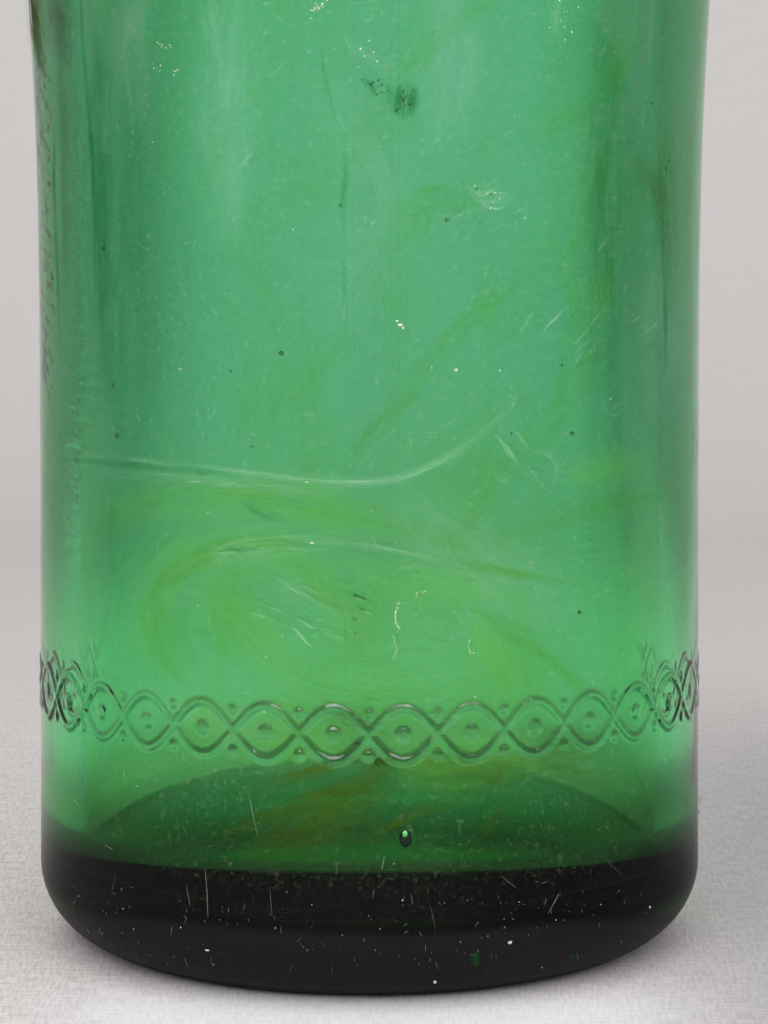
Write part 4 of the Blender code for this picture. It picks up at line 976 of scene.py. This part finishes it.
class SIPHON_OT_marks(bpy.types.Operator):
    """Set bubbles, threads, scratches and flecks in and on the glass"""

    bl_idname = "siphon.marks"
    bl_label = "Marks in the glass"

    def execute(self, context):
        make_bubbles()
        dark, pale = ripples()
        for name, streaks, *coat in (
            ("olive_streaks", OLIVE_STREAKS, "olive", (0.055, 0.25, 0.004), 9.0, 0.25, 0.75),
            ("yellow_patches", YELLOW_PATCHES, "yellow", (0.12, 0.40, 0.03), 6.0, 0.2, 0.8),
            ("brown_streaks", BROWN_STREAKS, "brown", (0.045, 0.075, 0.004), 12.0, 0.3, 0.65),
            ("pale_streaks", (*PALE_STREAKS, *pale), "pale", (0.55, 0.80, 0.58), 34.0, 0.42, 0.68),
            ("smudges", (*SMUDGES, *dark), "smudge", (0.010, 0.12, 0.03), 9.0, 0.3, 0.68),
            # The last row lays pale bands of painted sheen on the skin.
            ("haze", PAINTED_SHEEN, "haze", (0.42, 0.62, 0.56), 7.0, 0.2, 0.8),
        ):
            make_streaks(name, streaks, streak_coat(*coat))
        make_scratches(plain_material("scratch", (0.29, 0.32, 0.30), 0.6))
        make_specks("pale_flecks", pale_specks(), plain_material("pale_fleck", (0.62, 0.62, 0.48), 0.7))
        make_specks("dirt", dirt_specks(), plain_material("dirt", (0.022, 0.055, 0.016), 0.8))
        return {"FINISHED"}


# Head, lever and fittings; lengths in this part are in millimetres

PIVOT = (-15.5, 0.0, 304.0)
SPOUT_REACH = 62.0


def head_shell():
    """Skirt, barrel, nipple and the bores inside them: one closed profile carried round the axis."""
    return turned_shell(np.concatenate([
        [(8.0, 292.0), (13.5, 292.0), (14.5, 291.0), (14.5, 289.2), (13.8, 288.4), (14.5, 287.6)],
        arc((25.15, 250.3), (10.65, 8.5), 180, 270, 18),
        arc((25.15, 239.95), (1.85, 1.85), 90, 0, 8)[1:], [
            (27.0, 238.4), (26.1, 237.6), (26.1, 236.8), (27.0, 236.0), (27.0, 222.6), (26.1, 221.8),
            (26.1, 221.0), (27.0, 220.2), (27.0, 217.6), (26.4, 217.0), (23.8, 217.0), (23.3, 217.5),
            (23.3, 240.6), (10.8, 240.6), (10.8, 231.0), (8.3, 231.0), (8.3, 245.0), (7.0, 245.0),
            (7.0, 262.0), (4.0, 262.0), (4.0, 268.0), (6.0, 268.0), (6.0, 279.0), (8.0, 279.0),
        ],
    ]), 128)


def spout_shell():
    """Spout: circles along two cubics over the arch and a straight drop, that flare at the barrel and
    carry a bead at the end, then the narrower spigot, then the bore back up, as one closed surface."""
    knots = np.array([(0.0, 273.5), (-38.44, 282.0), (-SPOUT_REACH, 272.0), (-SPOUT_REACH, 259.0)])
    handles = np.array([(-12.4, 0.0), (-12.4, 0.0), (0.0, -4.2), (0.0, -3.25)])
    line = np.concatenate([
        bezier([knots[k], knots[k] + handles[k], knots[k + 1] - handles[k + 1], knots[k + 1]], 30)[begin:]
        for k, begin in enumerate((6, 1, 1))
    ])
    path = np.insert(line, 1, 0.0, axis=1)
    travel = travelled(path)
    radii = 9.0 - 2.5 * held(travel / travel[-1] / 0.82)
    radii += 3.2 * np.exp(-(np.clip(-line[:, 0] - 13.5, 0.0, None) / 4.2) ** 2)
    radii += 0.45 * np.exp(-((line[:, 1] - 262.2) / 1.0) ** 4) * (line[:, 0] < -61.0)
    down = np.array([(-SPOUT_REACH, 0.0, z) for z in (259.0, 258.8, 253.4, 253.0)])
    bore = np.concatenate([path, down[[1, 3]]])
    side = np.array([0.0, 1.0, 0.0])
    points, faces = closed_grid(np.concatenate([
        tube_points(path, side, radii, 64), tube_points(down, side, [4.6, 4.6, 4.6, 4.2], 64),
        tube_points(bore, side, 3.0, 64)[::-1],
    ]))
    return points * MM, faces


def closed_rows(points):
    """Shell from rings of points in millimetres, each end closed by the middle of its ring."""
    vertices, faces = closed_grid(points, points[0].mean(axis=0), points[-1].mean(axis=0))
    return vertices * MM, faces


def ear_shell(side):
    """Ear: a plate with a round crown over the pivot and a foot that widens, carried across, with its
    outer face leaning out towards the foot."""
    turn = np.linspace(-pi / 2, 1.5 * pi, 72, endpoint=False)
    across, up = np.cos(turn), np.sin(turn)
    middle, half = 289.0, 15.5
    x = 5.5 * np.sign(across) * np.abs(across) ** 0.55
    z = middle + half * np.sign(up) * np.abs(up) ** 0.75
    reach = np.sqrt(np.clip(5.5**2 - (np.clip(z, PIVOT[2], None) - PIVOT[2]) ** 2, 0.0, None))
    x = np.where(z > PIVOT[2] - 2.0, np.clip(x, -reach, reach), x)
    x *= 1.0 + 0.25 * held((292.0 - z) / 16.0)
    lean = 1.6 * held((298.0 - z) / 20.0) ** 1.5
    rows = np.array([
        np.stack([
            PIVOT[0] + x * (1.0 - inset / 5.5), side * (y + lean * (y > 5.0)),
            middle + (z - middle) * (1.0 - inset / 15.0),
        ], axis=1)
        for y, inset in ((3.7, 0.5), (3.9, 0.15), (4.2, 0.0), (6.6, 0.0), (7.0, 0.2), (7.2, 0.6))
    ])
    return closed_rows(rows[::side])


def make_head(material):
    """The cast head: skirt and barrel, spout and the two ears, melted together."""
    shells = [head_shell(), spout_shell(), ear_shell(1), ear_shell(-1)]
    piece = mesh_piece("cast_head", join_shells(shells), material)
    melted(piece, 0.58 * MM, 6)
    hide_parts("head_body")


def lever_shell():
    """Handle: rounded sections along a middle line of three cubics, for tongue, back and curled end.
    They widen and thin towards the thumb, with a hollow along the top and grooves under the thumb."""
    line = np.concatenate([
        bezier([(-15.5, 304.0), (-10.85, 310.12), (-3.875, 310.8), (12.0, 310.8)], 60),
        bezier([(12.0, 310.8), (35.1, 310.8), (47.344, 292.632), (54.0, 276.0)], 60)[1:],
        bezier([(54.0, 276.0), (56.08, 268.44), (59.85, 259.08), (67.0, 258.0)], 60)[1:],
    ])
    along = unit(np.gradient(line, axis=0))
    travel = travelled(line)
    share = travel / travel[-1]
    spread = held((share - 0.22) / 0.5)
    spread = spread**2 * (3 - 2 * spread)
    end = np.sqrt(np.clip(1.0 - held((share - 0.955) / 0.045) ** 2, 0.03, 1.0))
    width = (6.5 + 10.0 * spread) * end
    thickness = (6.6 - 2.0 * spread) * (0.35 + 0.65 * end)
    angle = full_turn(72)
    wide = np.abs(np.cos(angle)) ** 0.6 * np.sign(np.cos(angle))
    deep = np.abs(np.sin(angle)) ** 0.8 * -np.sign(np.sin(angle))
    top = held(deep)
    inner = 1.0 - np.abs(wide) ** 2
    thumb = held((share - 0.50) / 0.04) * held((0.84 - share) / 0.04)
    groove = 0.5 - 0.5 * np.cos(2 * pi * travel / 3.0)
    hollow = 0.7 * spread[:, None] * inner * top + 0.5 * (thumb * groove)[:, None] * top * np.sqrt(inner)
    lift = deep * thickness[:, None] / 2 - hollow
    points = np.stack([
        line[:, :1] - along[:, 1:] * lift, wide * width[:, None] / 2, line[:, 1:] + along[:, :1] * lift,
    ], axis=2)
    return closed_rows(points[np.linalg.norm(line - line[0], axis=1).searchsorted(3.4):])


def make_lever(material):
    """Lever with the eye round its pin and the nub that bears on the stem's cap."""
    shells = [lever_shell()]
    for hole, radius, place in ((2.15, 5.0, PIVOT), (0.0, 4.0, (0.0, 0.0, 308.3))):
        half = [(hole, 3.3), (radius - 0.4, 3.3), (radius, 2.9)]
        profile = half + [(size, -along) for size, along in reversed(half)]
        shells.append(laid_across(turned_shell(profile), place))
    piece = mesh_piece("cast_lever", join_shells(shells), material, body="lever")
    melted(piece, 0.36 * MM, 5)
    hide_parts("lever")


def make_nozzle(material):
    """Nozzle: a turned tip whose band is ribbed by a cosine of the angle."""
    profile = eased([
        (4.9, 258.7), (6.2, 258.7), (7.0, 257.9), (7.0, 249.3), (5.0, 246.5), (5.0, 244.0),
        (3.0, 244.0), (3.0, 251.1), (4.9, 251.1),
    ], 0.25)
    rows = np.concatenate([profile[:12], [(7.0, z) for z in np.linspace(257.4, 249.8, 16)], profile[12:]])
    angles = full_turn(320)
    band = soft_step(3.4 - np.abs(rows[:, 1] - 253.6), 0.35) * (rows[:, 0] > 6.5)
    ribs = 0.32 * MM * band[:, None] * (0.5 - 0.5 * np.cos(40 * angles))
    points = moved_out(turned_points(rows * MM, angles), -ribs) + np.array([-SPOUT_REACH, 0.0, 0.0]) * MM
    piece = mesh_piece("nozzle", closed_grid(points), material)
    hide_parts("spout_nozzle")


def make_gland_nut(material):
    """Gland nut: rows whose radius is the lesser of a circle and a hexagon, so its corners are
    chamfered, over a plain round thread."""
    angles = full_turn(180)
    hexagon = 9.0 * cos(pi / 6) / np.cos((angles + pi / 6) % (pi / 3) - pi / 6)
    rows = np.array([
        (1.9, 295.7, 0), (2.2, 296.0, 0), (7.7, 296.0, 0), (8.3, 295.7, 1), (8.9, 295.2, 1),
        (9.2, 294.8, 1), (9.2, 293.4, 1), (8.9, 292.9, 1), (8.3, 292.4, 1), (7.7, 292.3, 0),
        (7.7, 285.3, 0), (7.3, 284.9, 0), (2.2, 284.9, 0), (1.9, 285.2, 0),
    ])
    round_radius, height, cornered = rows.T[..., None]
    radius = np.where(cornered, np.minimum(round_radius, hexagon), round_radius)
    shell = closed_grid(carried(radius * MM, height * MM, angles))
    piece = mesh_piece("hexagon_nut", shell, material)
    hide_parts("gland_nut")


def make_stem_cap(material):
    """Button on the stem: a turned cap with a dished top and a groove round its side."""
    profile = eased([
        (0.0, 303.75), (2.6, 303.8), (3.4, 304.0), (4.1, 304.0), (4.5, 303.5), (4.5, 302.4), (4.2, 302.1),
        (4.2, 301.7), (4.5, 301.4), (4.5, 300.0), (1.9, 300.0), (1.9, 302.0), (0.0, 302.0),
    ], 0.16, loop=False)
    piece = mesh_piece("button", turned_shell(profile, 72), material, body="valve")
    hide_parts("stem_cap")


def make_lever_pin(material):
    """Pin with a domed rivet head at each end, laid across."""
    head = [(0.0, 9.0), (1.2, 8.93), (2.2, 8.65), (2.9, 8.15), (3.2, 7.6), (3.1, 7.5), (2.0, 7.5)]
    profile = head + [(radius, -along) for radius, along in reversed(head)]
    piece = mesh_piece("rivet", laid_across(turned_shell(profile, 64), PIVOT), material)
    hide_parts("lever_pin")


def make_spring(material):
    """Valve spring: a wire along a helix of even turns. It stands on its seat, and the stem squeezes it
    from above."""
    turns, radius, wire, low, high = 5, 5.15, 0.45, 245.45, 255.25
    share = np.linspace(0.0, 1.0, 361)[:, None]
    path = carried(radius, low + (high - low) * share, 2 * pi * turns * share)[:, 0] * MM
    piece = mesh_piece("coil", tube_shell(path, outward(path), wire * MM, 14), material)
    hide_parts("valve_spring")
    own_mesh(piece)


def make_dip_tube(material):
    """Dip tube: a clear tube with fire-rounded ends."""
    profile = eased([(2.9, 243.0), (4.0, 243.0), (4.0, 21.0), (2.9, 21.0)], 0.4)
    piece = mesh_piece("clear_tube", turned_shell(profile, 72), material)
    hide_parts("dip_tube")


# Finishes of the head and its fittings


def worn_metal(name, clean, dull, low, high, grain=1.0):
    """Old metal: clean where hands rub it, dull in patches, with a fine cast or turned grain, small
    pits and brushed scores."""
    metal = finish(name)
    spots = metal.noise(420.0, 4.0, 0.65)
    share = metal.noise(75.0, 5.0, 0.6).ramp(0.38, 0.68) * 0.75 + spots.ramp(0.52, 0.75) * 0.35
    scores = metal.noise(1500.0, 2.0, at=metal.mapped((1.0, 1.0, 0.05)))
    pits = spots.ramp(0.62, 0.8, 0.0, 0.8).rest() + scores * 0.25
    fine = pits.bump(0.30 * grain, 0.08 * MM)
    metal.put(
        Metallic=1.0, Base_Color=share.mix(clean, dull),
        Roughness=share.ramp(0.0, 1.0, low, high) + scores.ramp(0.4, 0.7, 0.0, 0.08),
        Normal=metal.noise(120.0, 2.0).bump(0.16 * grain, 0.25 * MM, Normal=fine),
    )
    return metal.owner


def black_rubber():
    """Old rubber: near black with a grey bloom and a fine skin."""
    rubber = finish("black_rubber")
    bloom = rubber.noise(260.0)
    rubber.put(
        Base_Color=bloom.ramp(0.4, 0.75).mix((0.018, 0.017, 0.016), (0.07, 0.068, 0.062)),
        Roughness=bloom.ramp(0.3, 0.8, 0.62, 0.86), Normal=rubber.noise(2400.0, 2.0).bump(0.2, 0.05 * MM),
    )
    return rubber.owner


def clear_glass():
    """Thin clear tube glass with the faintest wave."""
    glass = finish("clear_glass")
    waves = glass.noise(90.0, 1.0, at=glass.mapped((1.0, 1.0, 0.2)))
    glass.put(
        Transmission_Weight=1.0, IOR=1.04, Roughness=0.01, Alpha=0.08, Base_Color=(0.97, 0.99, 0.98),
        Normal=waves.bump(0.1, 0.1 * MM),
    )
    return glass.owner


def finish_nodes(material, *names):
    """Give solids that stay in view their finish."""
    for name in names:
        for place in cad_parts[name].material_slots:
            place.material = material


class SIPHON_OT_head(bpy.types.Operator):
    """Cast the head and turn the nozzle, and finish the split collar"""

    bl_idname = "siphon.head"
    bl_label = "Cast head"

    def execute(self, context):
        values = settings("siphon_metal")
        metal = worn_metal("cast_metal", values.clean, values.dull, 0.24, 0.52)
        make_head(metal)
        make_lever(metal)
        make_nozzle(metal)
        finish_nodes(metal, "collar_half_left", "collar_half_right")
        return {"FINISHED"}


class SIPHON_OT_fittings(bpy.types.Operator):
    """Turn the brass fittings, wind the spring, draw the dip tube and finish what stays of the solids"""

    bl_idname = "siphon.fittings"
    bl_label = "Fittings"

    def execute(self, context):
        brass = worn_metal("brass", settings("siphon_metal").brass, (0.17, 0.11, 0.05), 0.22, 0.5, 0.6)
        steel = worn_metal("steel", (0.55, 0.55, 0.54), (0.25, 0.22, 0.19), 0.2, 0.42, 0.5)
        make_gland_nut(brass)
        make_stem_cap(brass)
        make_lever_pin(steel)
        make_spring(steel)
        make_dip_tube(clear_glass())
        finish_nodes(
            brass, "tube_nut", "spring_seat", "valve_holder", "valve_nut", "valve_stem", "packing_washer",
        )
        finish_nodes(
            black_rubber(), "mouth_gasket", "tube_seal", "valve_disc", "stem_packing", "nozzle_gasket",
        )
        return {"FINISHED"}


# Stage


def linen_cloth():
    """Pale linen: fine crossed threads with slubs. Painted shade darkens it towards the back, a painted
    shadow lies right of the bottle and painted light in front of it, and it glows with painted light for
    rays through glass. Its back is clear, so that the bottle can be seen from behind the backdrop."""
    colour = settings("siphon_stage").linen
    cloth = finish("linen")
    x, y, z = cloth.axes()
    away = cloth.node("VectorMath", "Value", {0: cloth.here}, operation="LENGTH")
    warp, weft = (
        cloth.noise(scale, 1.0, at=cloth.mapped(stretch))
        for scale, stretch in ((2100.0, (1.0, 0.12, 0.12)), (1800.0, (0.1, 1.0, 1.0)))
    )
    weave = warp + weft
    # Painted shade: the cloth darkens towards the back.
    far = y.ramp(0.03, 0.30, 0.0, 0.9)
    tint = weave.ramp(0.7, 1.25).mix([0.74 * channel for channel in colour], colour)
    # Painted shadow: darker cloth to the right of the bottle, fading out away from it.
    right = x.ramp(0.02, 0.08, 0.0, 0.70) * away.fall(0.09, 0.26)
    # Painted light: paler cloth just in front of the bottle.
    near = away.fall(0.055, 0.090, 0.5) * y.fall(-0.05, -0.025) * abs(x).fall(0.03, 0.055)
    for share, other in (
        (far, [0.87 * channel for channel in colour]),
        (cloth.noise(30.0, 3.0).ramp(0.35, 0.7, 0.0, 0.08), (0.5, 0.47, 0.46)),
        # Painted shade, greyer towards the back.
        (y.ramp(0.0, 0.5, 0.0, 0.30), (0.25, 0.285, 0.275)),
        (right, (0.24, 0.25, 0.26)),
        (near, (0.78, 0.79, 0.84)),
        (room_shade(cloth, x, y, z), (0.02, 0.018, 0.018)),
    ):
        tint = share.mix(tint, other)
    # Painted light: the cloth glows for rays that come through glass, most near the bottle, filling its
    # shadow.
    lift = y.ramp(0.1, 0.6, 0.28, 0.02) + y.fall(0.06, 0.14, 0.2)
    cloth.put(
        Roughness=0.9, Specular_IOR_Level=0.1, Base_Color=tint, Emission_Color=tint,
        Emission_Strength=lift * cloth.ray("Transmission"),
        Alpha=cloth.node("NewGeometry", "Backfacing").rest(),
        Normal=(weave * far.rest()).bump(0.4, 0.25 * MM),
    )
    return cloth.owner


def room_shade(cloth, x, y, z):
    """How far the cloth gives way to the dim room. Rays that come through glass see it up the wall and
    well to the sides, and reflections see it in front, so base and flanks go dark as real ones do."""
    high = z.ramp(0.2, 0.45, 0.0, 0.93) * z.ramp(0.5, 0.6, 1.0, 0.4)
    side = abs(x + -0.012)
    share = high.most(side.ramp(0.07, 0.20, 0.0, 0.45) * y.ramp(0.15, 0.4))
    front = y.fall(0.0, 0.15, 0.8).most(side.ramp(0.12, 0.35, 0.0, 0.25))
    return (share * cloth.ray("Transmission")).most(front * cloth.ray("Glossy"))


def make_backdrop(material):
    """Floor that turns up into a wall behind: a profile of floor, arc and wall carried sideways."""
    half_width, front, bend, radius, top = 1.6, -1.6, 0.42, 0.3, 1.5
    turn = arc((bend, radius), (radius, radius), -90, 0, 25)
    profile = np.concatenate([[(front, 0.0), (bend, 0.0)], turn, [(bend + radius, top)]])
    points = np.array([[(x, y, z) for x in (-half_width, 0.0, half_width)] for y, z in profile])
    numbers = np.arange(points.size // 3).reshape(points.shape[:2])
    quads = np.stack([numbers[:-1, :-1], numbers[:-1, 1:], numbers[1:, 1:], numbers[1:, :-1]], axis=2)
    backdrop = mesh_object("backdrop", (points.reshape(-1, 3), [quads.reshape(-1, 4)]), material)


def add_lamp(name, place, aim, size, power):
    """A rectangle of light that looks from its place at an aim."""
    data = bpy.data.lights.new(name, "AREA")
    data.shape = "RECTANGLE"
    data.size, data.size_y = size
    data.energy = power
    lamp = link_object(name, data)
    lamp.location = place
    lamp.rotation_euler = (Vector(aim) - Vector(place)).to_track_quat("-Z", "Y").to_euler()
    return lamp


def make_camera():
    """The photograph's view of the bottle."""
    values = settings("siphon_stage")
    data = bpy.data.cameras.new("camera")
    data.lens = values.lens
    data.sensor_width = SENSOR
    data.clip_start, data.clip_end = 0.01, 20.0
    camera = link_object("camera", data)
    back = Vector((0.0, -cos(values.elevation), sin(values.elevation)))
    camera.location = Vector((values.aim_side, 0.0, values.aim_height)) + back * values.distance
    camera.rotation_euler = (-back).to_track_quat("-Z", "Y").to_euler()
    bpy.context.scene.camera = camera


def make_world():
    """Plain grey room, dimmer above the horizon for rays that come through glass."""
    room = Nodes(bpy.data.worlds.new("studio"), "Generated")
    limits = {"From Min": 0.12, "From Max": 0.3, "To Min": 1.0, "To Max": 0.5}
    dim = room.node("MapRange", "Result", {"Value": room.axes()[2], **limits})
    level = room.node("Mix", 0, {0: room.ray("Transmission"), 2: 1.0, 3: dim})
    colour = room.ray("Camera").mix((0.55, 0.52, 0.53), (0.57, 0.54, 0.53))
    room.put("Background", Color=colour, Strength=level)
    bpy.context.scene.world = room.owner


class SIPHON_OT_stage(bpy.types.Operator):
    """Lay the linen, hang the lamps and set the camera"""

    bl_idname = "siphon.stage"
    bl_label = "Stage"

    def execute(self, context):
        make_camera()
        make_world()
        make_backdrop(linen_cloth())
        add_lamp("window", (-0.5, -1.1, 0.9), (0.0, 0.0, 0.0), (1.0, 0.9), 9.0)
        add_lamp("fill", (0.7, -1.0, 0.75), (0.0, 0.0, 0.0), (1.0, 0.9), 6.4)
        ceiling = add_lamp("ceiling", (0.0, 0.0, 1.4), (0.0, 0.5, 0.0), (1.7, 1.5), 10.0)
        add_lamp("front", (0.0, -1.35, 0.62), (0.0, 0.0, 0.0), (1.3, 0.45), 8.5)
        ceiling.visible_transmission = False
        bpy.context.scene.view_settings.view_transform = "Standard"
        return {"FINISHED"}


class SIPHON_PT_panel(bpy.types.Panel):
    """Lists the pieces in the order in which they are made"""

    bl_idname = "SIPHON_PT_panel"
    bl_label = "Siphon bottle"
    bl_space_type = "VIEW_3D"
    bl_region_type = "UI"
    bl_category = "Siphon"

    def draw(self, context):
        for kind in OPERATORS:
            self.layout.operator(kind.bl_idname)
        for name in SETTINGS:
            values = getattr(context.scene, name)
            for key in values.__annotations__:
                self.layout.prop(values, key)


OPERATORS = (
    SIPHON_OT_stage, SIPHON_OT_bottle, SIPHON_OT_marks, SIPHON_OT_head, SIPHON_OT_fittings,
)
SETTINGS = {
    "siphon_stage": SiphonStageSettings, "siphon_glass": SiphonGlassSettings,
    "siphon_metal": SiphonMetalSettings,
}


def register():
    for kind in (*SETTINGS.values(), *OPERATORS, SIPHON_PT_panel):
        bpy.utils.register_class(kind)
    for name, kind in SETTINGS.items():
        setattr(bpy.types.Scene, name, PointerProperty(type=kind))


def unregister():
    for name in SETTINGS:
        delattr(bpy.types.Scene, name)
    for kind in (SIPHON_PT_panel, *reversed(OPERATORS), *reversed(list(SETTINGS.values()))):
        bpy.utils.unregister_class(kind)


def main():
    register()
    bpy.ops.siphon.stage()
    bpy.ops.siphon.bottle()
    bpy.ops.siphon.marks()
    bpy.ops.siphon.head()
    bpy.ops.siphon.fittings()


if __name__ == "__main__":
    main()
